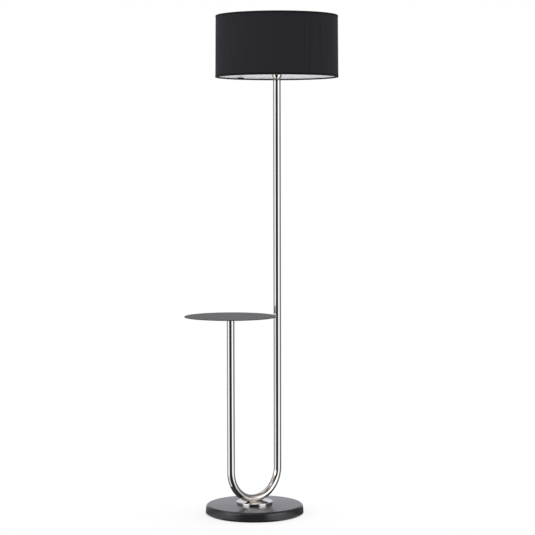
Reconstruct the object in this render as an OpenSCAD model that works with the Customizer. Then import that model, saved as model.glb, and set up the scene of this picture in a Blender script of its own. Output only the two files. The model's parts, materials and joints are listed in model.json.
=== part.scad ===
// Floor lamp with a side table. A round weighted base carries one bent tube. The short leg of
// the tube holds a small round table, and the tall leg runs on up to a lampholder and a drum
// shade. Millimetres, +Z up. The origin is the centre of the base, on the floor. The short leg
// is on the -X side, the tall leg on the +X side, and the lead enters the base from +Y.

/* [Overall] */
// Height of the shade's top edge above the floor
overall_h = 1530; // [1260:1:1850]
// Height of the table's upper face above the floor
table_h = 615; // [500:1:760]
// Distance between the centre lines of the two legs
leg_spacing = 180; // [160:1:230]
// Height of the joint in the tall leg, where the upper pole screws on
joint_h = 690; // [500:1:900]

/* [Tube] */
// Outer diameter of the bent tube and of the upper pole
tube_d = 24; // [20:0.2:29]
// Wall of the bent tube and of the upper pole
tube_wall = 1.2; // [1:0.1:1.6]
// Length of the threaded plugs pressed into the tube ends
plug_l = 22; // [16:1:30]

/* [Base] */
// Largest diameter of the base
base_d = 302; // [240:0.5:380]
// Height of the base's shoulder above the floor
base_h = 30; // [29:0.5:40]
// How much higher the base's flat middle is than its shoulder
top_rise = 2.4; // [0:0.2:4]
// Sheet thickness of the pressed cover
cover_t = 1.2; // [0.8:0.1:1.6]
// Outer radius of the cover's rounded shoulder
shoulder_r = 8; // [4:0.5:10]
// Outer radius of the cover's turned-in lower edge
foot_r = 4; // [3:0.5:5]
// How much smaller the wall's radius is at the shoulder than at the foot
wall_draft = 1.5; // [0:0.1:3]
// Width of the lip that is turned in under the weight
lip_w = 9; // [7:0.5:14]
// Thickness of the foam pad under the base
pad_t = 2; // [1:0.5:4]
// Distance from the base's largest radius in to the pad's edge
pad_inset = 7.5; // [6:0.5:12]
// Thickness of the iron weight's outer part
weight_t = 14; // [13:0.5:16]
// Distance from the base's largest radius in to the weight's edge
weight_inset = 9.5; // [8:0.5:12]
// Diameter of the weight's raised hub, which meets the cover
hub_d = 76; // [60:1:100]
// Thickness of iron left over the recess in the hub
hub_web = 4; // [3:0.5:5]
// Diameter of the recess under the hub, which holds the nut
recess_d = 44; // [36:1:52]

/* [Foot plate] */
// Diameter of the bright plate on the base
plate_d = 112; // [80:1:160]
// Thickness of the plate
plate_t = 6.4; // [6:0.2:12]
// Radius of the plate's rounded upper edge
plate_edge_r = 1.6; // [0.5:0.1:3]
// Depth of the groove in the plate that the bend sits in
seat_depth = 3.7; // [3:0.1:4]

/* [Threaded pieces] */
// Thread diameter of the hollow stud, the nipples and the table's stud
thread_d = 10; // [9:0.5:12]
// Clearance of the lead in the hollow stud and the nipples, on the diameter
lead_clear = 1.8; // [1.2:0.1:2]
// Clearance of the stud in the holes that it passes, on the diameter
stud_clear = 0.6; // [0.2:0.1:1]
// Length of the hollow nipple that joins the pole
joint_nipple_l = 30; // [24:1:40]
// Wall of the boss welded into the bend
boss_wall = 2; // [1.5:0.1:3]
// Height of the boss above the inside of the bend
boss_rise = 2.2; // [1:0.1:4]
// How much wider than the thread the nuts on the hollow stud and nipple are, across flats
nut_rim = 4; // [3:0.5:7]
// Thickness of the nut under the base
nut_t = 5; // [3:0.5:5]
// Diameter of the flat washer under the hub
washer_d = 24; // [20:0.5:32]
// Thickness of the flat washer
washer_t = 1.6; // [1:0.1:2]
// Diameter of the spring washer
spring_washer_d = 17; // [15:0.5:20]
// Thickness of the spring washer
spring_washer_t = 2; // [1.6:0.1:2]
// Width of the split in the spring washer
spring_washer_split = 1.5; // [1:0.1:2]
// How far the stud passes the nut
stud_over = 0.8; // [0.2:0.1:0.8]

/* [Lead] */
// Diameter of the lead inside the lamp
lead_d = 5.6; // [5:0.1:6.8]
// Radius of the lead's bend below the stud
lead_turn_r = 6.5; // [6:0.1:6.8]
// Radius of the lead's bend above the stud
lead_rise_r = 9; // [8:0.5:12]
// Height of the lead and of the bush above the floor
cord_z = 11; // [10.5:0.5:11]
// Room in the weight's channel on each side of the lead
channel_side = 1.7; // [1:0.1:3]
// Room in the channel above the lead
channel_room = 0.4; // [0.2:0.1:0.6]
// Clearance of the lead in the bush, on the diameter
bush_clear = 0.8; // [0.4:0.1:1.2]
// Wall of the bush in the cover's hole
bush_wall = 1.8; // [1:0.1:2]
// How far the bush's flanges stand out past the hole
bush_flange_w = 1.5; // [1:0.1:1.5]
// Thickness of the bush's flanges
bush_flange_t = 2; // [1:0.5:3]
// Distance from the weight's edge in to the clamp bar
clamp_inset = 18; // [6:1:60]
// Length of the clamp bar across the lead
clamp_w = 26; // [25:1:34]
// Width of the clamp bar along the lead
clamp_l = 12; // [8:1:16]
// Thickness of the clamp bar
clamp_t = 2; // [1.5:0.5:2.5]
// Play of the clamp bar in its pocket
clamp_play = 0.4; // [0.2:0.1:0.8]
// Distance between the clamp's two screws
clamp_pitch = 18; // [17:1:19]
// Diameter of the screws' shanks
clamp_screw_d = 3; // [2.5:0.5:4]
// Diameter of their sunk heads
clamp_head_d = 5.6; // [5:0.2:6.4]
// Length of the screws
clamp_screw_l = 9; // [6:1:11]
// Diameter of one insulated core of the lead
core_d = 1.8; // [1.4:0.1:2.2]

/* [Table] */
// Diameter of the table
table_d = 281; // [220:1:320]
// Thickness of the table
table_t = 2.2; // [2:0.1:6]
// Chamfer on the table's edge
table_chamfer = 0.5; // [0.2:0.1:0.8]
// Diameter of the flange plate under the table
flange_d = 72; // [64:1:90]
// Thickness of the flange plate
flange_t = 3; // [2:0.5:5]
// Distance from the flange plate's edge in to the table's three welded studs
table_stud_inset = 9; // [6:0.5:11]
// Diameter of the welded studs
table_stud_d = 4; // [3:0.5:5]
// How far the welded studs pass their nuts
table_stud_over = 1.3; // [0.5:0.1:4]
// Clearance of the welded studs in the flange, on the diameter
table_stud_clear = 0.5; // [0.2:0.1:1]
// How much wider than their thread the table's nuts are, across flats
table_nut_rim = 3; // [2:0.5:4]
// Thickness of the table's nuts
table_nut_t = 3.2; // [2:0.2:4]
// Length of the threaded stud between the flange and the short leg
leg_stud_l = 20; // [14:1:24]

/* [Lampholder] */
// Inner diameter of the screw shell that takes the bulb
shell_bore = 26.8; // [26.7:0.1:32.2]
// Wall of the screw shell
shell_t = 0.5; // [0.4:0.1:0.8]
// Height of the screw shell
shell_h = 25; // [22:1:26]
// Width of the screw shell's turned-in bottom
shell_floor_w = 4; // [2:0.5:5]
// Wall of the moulded body round the screw shell, down to the cup, which is as wide
neck_wall = 2.1; // [1.5:0.1:3]
// Height of the moulded body from the cup's rim up to the shade's seat
neck_h = 12; // [8:1:20]
// Wall of the threaded sleeve round the screw shell
sleeve_wall = 2.5; // [2.2:0.1:4]
// Height of the threaded sleeve above the seat
sleeve_h = 20; // [18:1:24]
// Width of the flange that the shade sits on
seat_w = 3.1; // [2.4:0.1:5]
// Thickness of the flange that the shade sits on
seat_t = 3; // [2:0.5:4]
// Height of the bright cup
cup_h = 34; // [30:1:40]
// Wall of the bright cup
cup_wall = 1; // [0.6:0.1:1.2]
// Height of the cup's flared lower part, which grows from the pole to the cup's full width
cup_flare_h = 12; // [10:1:12]
// How far the cup reaches down below the shade's lower edge
cup_drop = 3; // [0:1:12]
// Length of the nipple under the lampholder
socket_nipple_l = 22; // [18:1:28]
// How far that nipple stands up above the cup's floor
socket_nipple_rise = 5; // [4:0.5:6]
// Thickness of the nut in the cup
cup_nut_t = 3; // [2:0.5:3]
// Height of the wiring space between the cup's floor and the moulded body
wiring_h = 12; // [11:1:14]
// Width of the centre contact
contact_w = 6; // [4:0.5:8]
// Thickness of the centre contact
contact_t = 0.6; // [0.4:0.1:0.8]
// Rise of the centre contact's middle above its feet
contact_rise = 1.8; // [1:0.1:2.2]
// Length of each of the centre contact's feet
contact_foot = 2.8; // [2:0.1:4]
// Length of the flat in the middle of the centre contact
contact_flat = 4.2; // [3:0.1:6]
// Depth of the pockets for the terminal screws
pocket_depth = 5; // [4.5:0.5:5]
// Width of the pockets
pocket_w = 9; // [8:0.5:10]
// Height of the pockets
pocket_h = 11; // [10:0.5:12]
// Diameter of the terminal screws
terminal_d = 3; // [2.5:0.5:3.5]
// How deep the terminal screws bite into the moulded body
terminal_bite = 3; // [2:0.5:3]
// Diameter of the terminal screws' heads
terminal_head_d = 6; // [5:0.5:7]
// Thickness of the terminal screws' heads
terminal_head_t = 1.6; // [1:0.2:2]

/* [Switch] */
// Height of the switch shaft below the cup's rim
switch_drop = 8; // [7:0.5:9]
// Diameter of the switch shaft
shaft_d = 4; // [3:0.5:5]
// Clearance of the shaft in the moulded body, on the radius
shaft_gap = 0.05; // [0.02:0.01:0.1]
// Clearance of the shaft in the cup's hole, on the radius
shaft_hole_gap = 0.6; // [0.4:0.1:1]
// Diameter of the knob
knob_d = 12; // [10:0.5:14.5]
// Length of the knob
knob_l = 12; // [9:0.5:16]
// Thickness of the knob's closed end
knob_cap = 2; // [1:0.5:4]
// Gap between the cup and the knob
knob_gap = 1.2; // [0.6:0.1:2]
// Number of the knob's grip flutes
knob_flutes = 16; // [8:1:20]
// Diameter of the knob's grip flutes
knob_flute_d = 1.4; // [1:0.1:1.6]
// Diameter of the cam on the shaft
cam_d = 9; // [7:0.5:9]
// Diameter of the four hollows in the cam's rim
cam_hollow_d = 2.4; // [1.6:0.2:3]
// Length of the cam along the shaft
cam_l = 4; // [3:0.2:5]
// Distance from the lampholder's axis to the cam
cam_in = 3.5; // [3:0.5:4]
// Room between the cam and the moulded body, all round
cam_room = 1; // [0.4:0.1:1]

/* [Bulb] */
// Largest diameter of the glass
bulb_d = 60; // [50:1:72]
// Height of the bulb from its contact to the top of the glass
bulb_h = 105; // [88:1:126]
// Thickness of the glass
glass_t = 1; // [0.6:0.1:1.4]
// Diameter of the glass where it meets the cap
bulb_neck_d = 29; // [28:0.5:34]
// Clearance of the cap in the screw shell, on the diameter
cap_clear = 0.4; // [0.3:0.1:0.8]
// Height of the cap
cap_h = 24; // [23:0.5:25]
// Wall of the cap
cap_t = 0.6; // [0.4:0.1:0.8]
// Diameter of the contact button
button_d = 9; // [7:0.5:10]
// Thickness of the contact button
button_t = 1.2; // [0.8:0.1:1.6]
// Diameter of the insulator round the button
insulator_d = 19; // [16:0.5:20]
// Thickness of the insulator
insulator_t = 1.6; // [1:0.1:2]
// Gap between the button and the centre contact, as the two bodies only just meet
contact_gap = 0.3; // [0.2:0.1:0.5]

/* [Shade] */
// Diameter of the shade at its lower edge
shade_bottom_d = 379; // [310:1:453]
// Diameter of the shade at its upper edge
shade_top_d = 376; // [310:1:450]
// Height of the shade
shade_h = 189; // [170:1:260]
// Thickness of the outer cloth
cloth_t = 0.8; // [0.6:0.1:1.2]
// Thickness of the lining
lining_t = 0.6; // [0.4:0.1:1]
// Thickness of the rolled edges
hem_t = 0.5; // [0.3:0.1:0.8]
// Height of the rolled edges
hem_h = 6; // [5:0.5:12]
// Diameter of the two wire rings
wire_d = 3; // [2.5:0.1:4]
// Play of the wire rings in the rolled edge
wire_play = 0.15; // [0.1:0.05:0.3]
// Diameter of the arms
arm_d = 2.6; // [2:0.1:2.7]
// Number of arms
arm_count = 3; // [3:1:4]
// Height at which an arm leaves the shade's wall, above the lower edge
arm_lift = 20; // [12:1:30]
// Radius of the bend in each arm
arm_bend_r = 6; // [4:0.5:8]
// Width of the fitter ring
fitter_w = 5; // [4:0.5:7]
// Thickness of the fitter ring
fitter_t = 1.6; // [1.2:0.1:2]
// Clearance of the fitter ring round the sleeve, on the diameter
fitter_clear = 1.2; // [0.6:0.1:2]
// Gap between the fitter ring and the pieces above and below it
fitter_gap = 0.3; // [0.2:0.1:0.4]
// Wall of the locking ring round the sleeve
lock_wall = 4.05; // [3:0.05:6]
// Height of the locking ring
lock_h = 6; // [4:0.5:8]
// Clearance of the locking ring on the sleeve, on the radius
lock_gap = 0.05; // [0.02:0.01:0.1]
// Number of the locking ring's grip flutes
lock_flutes = 24; // [12:1:32]
// Diameter of the locking ring's grip flutes
lock_flute_d = 2; // [1:0.2:2.4]

/* [Hidden] */
$fn = 120;

// How far a cutting shape passes the faces that it cuts
cut = 1;
// Steps in a rounded corner, in the round top of the glass, and in the bend of an arm
arc_steps = 8;
glass_steps = 16;
arm_steps = 6;
// Sides of a swept bar, and steps of the lead in its turn, in its rise and round the bend
bar_sides = 12;
lead_turn_steps = 6;
lead_rise_steps = 5;
lead_bend_steps = 18;

// Bend: radius of the centre line, the levels under it, the height of its centre, and how far
// the boss and the stud in it end short of the base and of the boss's top
bend_r = leg_spacing / 2;
top_z = base_h + top_rise;
plate_top_z = top_z + plate_t;
tube_bottom_z = plate_top_z - seat_depth;
bend_z = tube_bottom_z + tube_d / 2 + bend_r;
tube_bore = tube_d - 2 * tube_wall;
boss_top_z = tube_bottom_z + tube_wall + boss_rise;
boss_gap = 1;
boss_d = thread_d + 2 * boss_wall;
nipple_bore = lead_d + lead_clear;
nut_af = thread_d + nut_rim;

// Base: the slope of its top from the flat middle under the plate to the shoulder, and the
// levels in the stack on the hollow stud, from the hub's web down
base_r = base_d / 2;
wall_top_r = base_r - wall_draft;
shoulder_c = [wall_top_r - shoulder_r, base_h - shoulder_r];
foot_c = [base_r - foot_r, pad_t + foot_r];
flat_inset = 4;
flat_r = max(plate_d / 2 - flat_inset, hub_d / 2);
slope_run = [shoulder_c[0] - flat_r, top_z - shoulder_c[1]];
top_slope = atan2(slope_run[1], slope_run[0]) - asin(shoulder_r / norm(slope_run));
wall_tilt = atan2(wall_draft, shoulder_c[1] - foot_c[1]);
weight_z = pad_t + cover_t;
weight_r = base_r - weight_inset;
web_z = top_z - cover_t - hub_web;
washer_z = web_z - washer_t;
spring_washer_z = washer_z - spring_washer_t;
nut_z = spring_washer_z - nut_t;
stud_z = nut_z - stud_over;
stud_hole_d = thread_d + stud_clear;

// Inlet: the outer radius of the cover's wall at a height, and the pieces that hold the lead
function wall_r(z) = base_r - wall_draft * (z - foot_c[1]) / (shoulder_c[1] - foot_c[1]);
bush_bore = lead_d + bush_clear;
bush_hole_d = bush_bore + 2 * bush_wall;
bush_flange_d = bush_hole_d + 2 * bush_flange_w;
channel_w = lead_d + 2 * channel_side;
clamp_y = weight_r - clamp_inset - clamp_l;
lead_end_y = clamp_y + clamp_l;

// Table: the short leg ends under the flange
table_under_z = table_h - table_t;
short_leg_z = table_under_z - flange_t;
table_nut_z = short_leg_z - table_nut_t;

// Shade: lower edge, and its outer radius at a height
shade_z = overall_h - shade_h;
function shade_r(z) =
    (shade_bottom_d + (shade_top_d - shade_bottom_d) * (z - shade_z) / shade_h) / 2;
wall_t = hem_t + cloth_t + lining_t;
ring_r = wire_d / 2 + wire_play;
bottom_ring_z = shade_z + hem_t + ring_r;
top_ring_z = overall_h - hem_t - ring_r;
function ring_centre(z) = shade_r(z) - wall_t - 2 * wire_play - wire_d / 2;
shade_lean = atan((shade_bottom_d - shade_top_d) / 2 / shade_h);

// Lampholder, from the screw shell out, and its levels
shell_d = shell_bore + 2 * shell_t;
sleeve_d = shell_d + 2 * sleeve_wall;
seat_d = sleeve_d + 2 * seat_w;
cup_r = shell_d / 2 + neck_wall;
cup_in_r = cup_r - cup_wall;
pole_top_z = shade_z - cup_drop;
cup_rim_z = pole_top_z + cup_h;
body_z = pole_top_z + cup_wall + wiring_h;
seat_z = cup_rim_z + neck_h;
sleeve_top_z = seat_z + sleeve_h;
shell_z = sleeve_top_z - shell_h;
switch_z = cup_rim_z - switch_drop;
knob_y = cup_r + knob_gap;
shaft_stub = 0.5;
shaft_in = cam_in - shaft_stub;

// Lead's route: up the stud, into the bend and up the tall leg, out past the upper nipple
lead_over = 1;
lead_turn_z = cord_z + lead_turn_r;
lead_lean = asin(lead_rise_r / (bend_r + lead_rise_r));
lead_rise_z = bend_z - (bend_r + lead_rise_r) * cos(lead_lean);
lead_top_z = pole_top_z + cup_wall + socket_nipple_rise + lead_over;

// Cores: where one starts beside the lead's centre, its bends, its play under a terminal
// screw's head, its room beside the shank, and the lengths of its straight start and end
core_start = 1.3;
core_bend_r = 2.5;
core_play = 0.05;
core_room = 0.35;
core_side = terminal_d / 2 + core_d / 2 + core_room;
core_reach = cup_in_r - pocket_depth + core_d / 2 + core_play;
core_turn = atan2(core_side, core_reach);
core_span = norm([core_reach, core_side]);
core_tail = 5;
core_stub = 0.5;
core_steps = 6;

// Bulb levels, and the point where the neck's cone meets the round part
tip_z = shell_z + contact_rise + contact_t + contact_gap;
cap_z = tip_z + button_t + insulator_t;
neck_z = cap_z + cap_h;
cap_d = shell_bore - cap_clear;
bulb_r = bulb_d / 2;
bulb_c = tip_z + bulb_h - bulb_r;

// Shade carrier
fitter_r = (sleeve_d + fitter_clear) / 2;
fitter_z = seat_z + fitter_gap;
fitter_out_r = fitter_r + fitter_w;
lock_z = fitter_z + fitter_t + fitter_gap;

// Arm: from the bottom ring up along the wall to a rounded corner, then in to the fitter ring
arm_start = [ring_centre(bottom_ring_z), bottom_ring_z];
arm_corner = [ring_centre(shade_z + arm_lift), shade_z + arm_lift];
arm_end = [fitter_out_r, fitter_z + fitter_t / 2];
arm_slope = atan2(arm_end[1] - arm_corner[1], arm_corner[0] - arm_end[0]);
arm_sweep = 90 - arm_slope - shade_lean;
arm_tangent = arm_bend_r * tan(arm_sweep / 2);
arm_first_angle = 90;

// Points on an arc about c, from angle a0 to a1
function arc(c, r, a0, a1, n = arc_steps) =
    [for (i = [0:n]) c + r * [cos(a0 + (a1 - a0) * i / n), sin(a0 + (a1 - a0) * i / n)]];

// Places a child at the axis of the short leg or of the tall leg
module short_leg() translate([-bend_r, 0, 0]) children();
module tall_leg() translate([bend_r, 0, 0]) children();

module ring(od, id, h) {
    difference() {
        cylinder(d = od, h = h);
        translate([0, 0, -cut]) cylinder(d = id, h = h + 2 * cut);
    }
}

// A round bar bent about the origin in the XZ plane, from angle a0 to a1
module bent_bar(r, d, a0, a1) {
    rotate([90, 0, 0]) rotate([0, 0, a0])
        rotate_extrude(angle = a1 - a0) translate([r, 0]) circle(d = d);
}

// A round bar swept along stations, each a centre and the two directions that span its section
module swept_bar(stations, d) {
    n = bar_sides;
    m = len(stations);
    points = [for (s = stations, i = [0:n - 1])
        s[0] + d / 2 * (cos(360 * i / n) * s[1] + sin(360 * i / n) * s[2])];
    sides = [for (k = [0:m - 2], i = [0:n - 1]) let (a = k * n + i, b = k * n + (i + 1) % n)
        each [[a, a + n, b], [b, a + n, b + n]]];
    ends = [[for (i = [0:n - 1]) i], [for (i = [n - 1:-1:0]) (m - 1) * n + i]];
    polyhedron(points, concat(sides, ends));
}

module bent_pipe(r, d, bore, a0, a1) {
    rotate([90, 0, 0]) rotate([0, 0, a0]) rotate_extrude(angle = a1 - a0) translate([r, 0])
        difference() {
            circle(d = d);
            circle(d = bore);
        }
}

module hex_nut(af, bore, h) {
    difference() {
        cylinder(d = af / cos(30), h = h, $fn = 6);
        translate([0, 0, -cut]) cylinder(d = bore, h = h + 2 * cut);
    }
}

// A threaded plug for a tube end, a hollow nipple, and a fluted grip for fingers
module tube_plug() ring(tube_bore, thread_d, plug_l);
module nipple(l) ring(thread_d, nipple_bore, l);
module flutes(r, d, n, h) {
    for (i = [0:n - 1]) rotate([0, 0, 360 * i / n])
        translate([r + d / 4, 0, -cut]) cylinder(d = d, h = h + 2 * cut);
}

// ---- Base ----

module base_cover() {
    outer = concat([[stud_hole_d / 2, top_z], [flat_r, top_z]],
                   arc(shoulder_c, shoulder_r, 90 - top_slope, wall_tilt),
                   arc(foot_c, foot_r, 0, -90),
                   [[foot_c[0] - lip_w, pad_t]]);
    inner = concat([[foot_c[0] - lip_w, pad_t + cover_t]],
                   arc(foot_c, foot_r - cover_t, -90, 0),
                   arc(shoulder_c, shoulder_r - cover_t, wall_tilt, 90 - top_slope),
                   [[flat_r, top_z - cover_t], [stud_hole_d / 2, top_z - cover_t]]);
    color("#26262a") difference() {
        rotate_extrude() polygon(concat(outer, inner));
        translate([0, base_r + cut, cord_z]) rotate([90, 0, 0])
            cylinder(d = bush_hole_d, h = 2 * lip_w);
    }
}

module base_weight() {
    channel_top = cord_z + lead_d / 2 + channel_room;
    color("#4a4a4c") difference() {
        union() {
            translate([0, 0, weight_z]) cylinder(r = weight_r, h = weight_t);
            translate([0, 0, weight_z]) cylinder(d = hub_d, h = top_z - cover_t - weight_z);
        }
        translate([0, 0, weight_z - cut]) cylinder(d = recess_d, h = web_z - weight_z + cut);
        cylinder(d = stud_hole_d, h = top_z + cut);
        translate([-channel_w / 2, 0, weight_z - cut])
            cube([channel_w, base_r, channel_top - weight_z + cut]);
        translate([-clamp_w / 2 - clamp_play / 2, clamp_y - clamp_play / 2,
                   weight_z - cut])
            cube([clamp_w + clamp_play, clamp_l + clamp_play, clamp_t + cut]);
        clamp_screw_places() cylinder(d = clamp_screw_d, h = clamp_screw_l);
    }
}

module base_pad() {
    color("#1c1c1e") cylinder(r = base_r - pad_inset, h = pad_t);
}

module base_stud() {
    color("silver") translate([0, 0, stud_z]) nipple(boss_top_z - boss_gap - stud_z);
}

module stud_washer() {
    color("silver") translate([0, 0, washer_z]) ring(washer_d, stud_hole_d, washer_t);
}

module stud_spring_washer() {
    color("gray") translate([0, 0, spring_washer_z]) difference() {
        ring(spring_washer_d, stud_hole_d, spring_washer_t);
        translate([0, -spring_washer_split / 2, -cut])
            cube([spring_washer_d, spring_washer_split, spring_washer_t + 2 * cut]);
    }
}

module stud_nut() {
    color("silver") translate([0, 0, nut_z]) hex_nut(nut_af, thread_d, nut_t);
}

module cord_bush() {
    inner_y = wall_r(cord_z + bush_flange_d / 2) - cover_t - bush_flange_t;
    length = base_r + bush_flange_t - inner_y;
    color("#141416") translate([0, inner_y, cord_z]) rotate([-90, 0, 0]) difference() {
        union() {
            cylinder(d = bush_flange_d, h = bush_flange_t);
            cylinder(d = bush_hole_d, h = length);
            translate([0, 0, length - bush_flange_t])
                cylinder(d = bush_flange_d, h = bush_flange_t);
        }
        translate([0, 0, -cut]) cylinder(d = bush_bore, h = length + 2 * cut);
    }
}

// The two screws' places, seen from the underside of the clamp bar
module clamp_screw_places() {
    for (side = [-1, 1])
        translate([side * clamp_pitch / 2, clamp_y + clamp_l / 2, weight_z]) children();
}

module clamp_screw() {
    head_h = (clamp_head_d - clamp_screw_d) / 2;
    cylinder(d1 = clamp_head_d, d2 = clamp_screw_d, h = head_h);
    translate([0, 0, head_h]) cylinder(d = clamp_screw_d, h = clamp_screw_l - head_h);
}

module cord_clamp() {
    tongue_w = channel_w - clamp_play;
    tongue_top = cord_z - lead_d / 2;
    color("#202022") difference() {
        translate([0, clamp_y, weight_z]) {
            translate([-clamp_w / 2, 0, 0]) cube([clamp_w, clamp_l, clamp_t]);
            translate([-tongue_w / 2, 0, 0]) cube([tongue_w, clamp_l, tongue_top - weight_z]);
        }
        clamp_screw_places() {
            clamp_screw();
            translate([0, 0, -cut]) cylinder(d = clamp_head_d, h = cut);
        }
    }
}

module clamp_screws() {
    color("silver") clamp_screw_places() clamp_screw();
}

// ---- Bent tube and pole ----

module foot_plate() {
    edge_c = [plate_d / 2 - plate_edge_r, plate_t - plate_edge_r];
    section = concat([[boss_d / 2, 0], [plate_d / 2, 0]],
                     arc(edge_c, plate_edge_r, 0, 90),
                     [[boss_d / 2, plate_t]]);
    color("gainsboro") difference() {
        translate([0, 0, top_z]) rotate_extrude() polygon(section);
        translate([0, 0, bend_z]) bent_bar(bend_r, tube_d, 225, 315);
    }
}

module bend_boss() {
    color("silver") translate([0, 0, top_z + boss_gap])
        ring(boss_d, thread_d, boss_top_z - top_z - boss_gap);
}

module u_tube() {
    color("gainsboro") difference() {
        union() {
            translate([0, 0, bend_z]) bent_pipe(bend_r, tube_d, tube_bore, 180, 360);
            short_leg() translate([0, 0, bend_z]) ring(tube_d, tube_bore, short_leg_z - bend_z);
            tall_leg() translate([0, 0, bend_z]) ring(tube_d, tube_bore, joint_h - bend_z);
        }
        cylinder(d = boss_d, h = bend_z - bend_r);
    }
}

module u_tube_plug() {
    color("silver") tall_leg() translate([0, 0, joint_h - plug_l]) tube_plug();
}

module joint_nipple() {
    color("silver") tall_leg() translate([0, 0, joint_h - joint_nipple_l / 2])
        nipple(joint_nipple_l);
}

module pole_plug() {
    color("silver") tall_leg() translate([0, 0, joint_h]) tube_plug();
}

module upper_pole() {
    color("gainsboro") tall_leg() translate([0, 0, joint_h])
        ring(tube_d, tube_bore, pole_top_z - joint_h);
}

module pole_top_plug() {
    color("silver") tall_leg() translate([0, 0, pole_top_z - plug_l]) tube_plug();
}

// ---- Lead ----

// The route as stations, each a centre, and the two directions that span the lead there. It
// comes in along Y, turns up into the stud, leans over into the bend and stands in the tall leg.
lead_route = concat(
    [[[0, lead_end_y, cord_z], [1, 0, 0], [0, 0, 1]]],
    [for (i = [0:lead_turn_steps]) let (a = -90 - 90 * i / lead_turn_steps)
        [[0, lead_turn_r + lead_turn_r * cos(a), lead_turn_z + lead_turn_r * sin(a)],
         [1, 0, 0], [0, -cos(a), -sin(a)]]],
    [for (i = [0:lead_rise_steps]) let (a = 180 - (90 - lead_lean) * i / lead_rise_steps)
        [[lead_rise_r + lead_rise_r * cos(a), 0, lead_rise_z + lead_rise_r * sin(a)],
         [-cos(a), 0, -sin(a)], [0, 1, 0]]],
    [for (i = [1:lead_bend_steps])
        let (a = -90 + lead_lean + (90 - lead_lean) * i / lead_bend_steps)
        [[bend_r * cos(a), 0, bend_z + bend_r * sin(a)], [cos(a), 0, sin(a)], [0, 1, 0]]],
    [[[bend_r, 0, lead_top_z], [1, 0, 0], [0, 1, 0]]]
);

module inner_lead() {
    color("black") swept_bar(lead_route, lead_d);
}

// Each core leaves the lead's end, turns outwards and then up beside its terminal screw
module lead_core() {
    turn_c = [core_start + core_bend_r, lead_top_z + core_stub];
    rise_c = [core_span - core_bend_r, turn_c[1] + 2 * core_bend_r];
    steps = [for (i = [0:core_steps]) 90 * i / core_steps];
    swept_bar(concat(
        [[[core_start, 0, lead_top_z], [1, 0, 0], [0, 1, 0]]],
        [for (a = steps) let (out = [cos(a), -sin(a)])
            [[turn_c[0] - core_bend_r * out[0], 0, turn_c[1] - core_bend_r * out[1]],
             [out[0], 0, out[1]], [0, 1, 0]]],
        [for (a = steps) let (out = [sin(a), -cos(a)])
            [[rise_c[0] + core_bend_r * out[0], 0, rise_c[1] + core_bend_r * out[1]],
             [out[0], 0, out[1]], [0, 1, 0]]],
        [[[core_span, 0, rise_c[1] + core_tail], [1, 0, 0], [0, 1, 0]]]
    ), core_d);
}

module lead_cores() {
    color("saddlebrown") tall_leg()
        for (a = [0, 180]) rotate([0, 0, a + core_turn]) lead_core();
}

// ---- Lampholder ----

module socket_nipple() {
    top = pole_top_z + cup_wall + socket_nipple_rise;
    color("silver") tall_leg() translate([0, 0, top - socket_nipple_l]) nipple(socket_nipple_l);
}

module socket_cup() {
    flare_w = cup_r - tube_d / 2;
    flare_r = (flare_w ^ 2 + cup_flare_h ^ 2) / (2 * flare_w);
    flare_c = [cup_r - flare_r, cup_flare_h];
    outer_a = -asin(cup_flare_h / flare_r);
    inner_a = -asin((cup_flare_h - cup_wall) / (flare_r - cup_wall));
    outer = concat([[thread_d / 2, 0]], arc(flare_c, flare_r, outer_a, 0), [[cup_r, cup_h]]);
    inner = concat([[cup_in_r, cup_h]], arc(flare_c, flare_r - cup_wall, 0, inner_a),
                   [[thread_d / 2, cup_wall]]);
    color("gainsboro") tall_leg() difference() {
        translate([0, 0, pole_top_z]) rotate_extrude() polygon(concat(outer, inner));
        translate([0, 0, switch_z]) rotate([90, 0, 0])
            cylinder(r = shaft_d / 2 + shaft_hole_gap, h = cup_r + cut);
    }
}

module cup_nut() {
    color("silver") tall_leg() translate([0, 0, pole_top_z + cup_wall])
        hex_nut(nut_af, thread_d, cup_nut_t);
}

module socket_body() {
    slot_r = cam_d / 2 + cam_room;
    slot_front = cam_in + cam_l + cam_room / 2;
    slot_back = 2;
    color("#1e1e20") tall_leg() difference() {
        union() {
            translate([0, 0, body_z]) cylinder(r = cup_in_r, h = cup_rim_z - body_z);
            translate([0, 0, cup_rim_z]) cylinder(r = cup_r, h = neck_h - seat_t);
            translate([0, 0, seat_z - seat_t]) cylinder(d = seat_d, h = seat_t);
            translate([0, 0, seat_z]) cylinder(d = sleeve_d, h = sleeve_h);
        }
        translate([0, 0, shell_z]) cylinder(d = shell_d, h = shell_h + cut);
        translate([-slot_r, -slot_front, body_z - cut])
            cube([2 * slot_r, slot_front + slot_back, switch_z + slot_r - body_z + cut]);
        translate([0, 0, switch_z]) rotate([90, 0, 0])
            cylinder(r = shaft_d / 2 + shaft_gap, h = cup_r);
        for (side = [0, 180]) rotate([0, 0, side]) {
            translate([cup_in_r - pocket_depth, -pocket_w / 2, body_z - cut])
                cube([pocket_depth + cut, pocket_w, pocket_h + cut]);
            terminal_place() cylinder(d = terminal_d, h = terminal_bite + cut);
        }
    }
}

module screw_shell() {
    bore_r = shell_bore / 2;
    hole_r = bore_r - shell_floor_w;
    color("goldenrod") tall_leg() translate([0, 0, shell_z]) rotate_extrude() polygon([
        [hole_r, 0], [shell_d / 2, 0], [shell_d / 2, shell_h], [bore_r, shell_h],
        [bore_r, shell_t], [hole_r, shell_t]
    ]);
}

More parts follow.
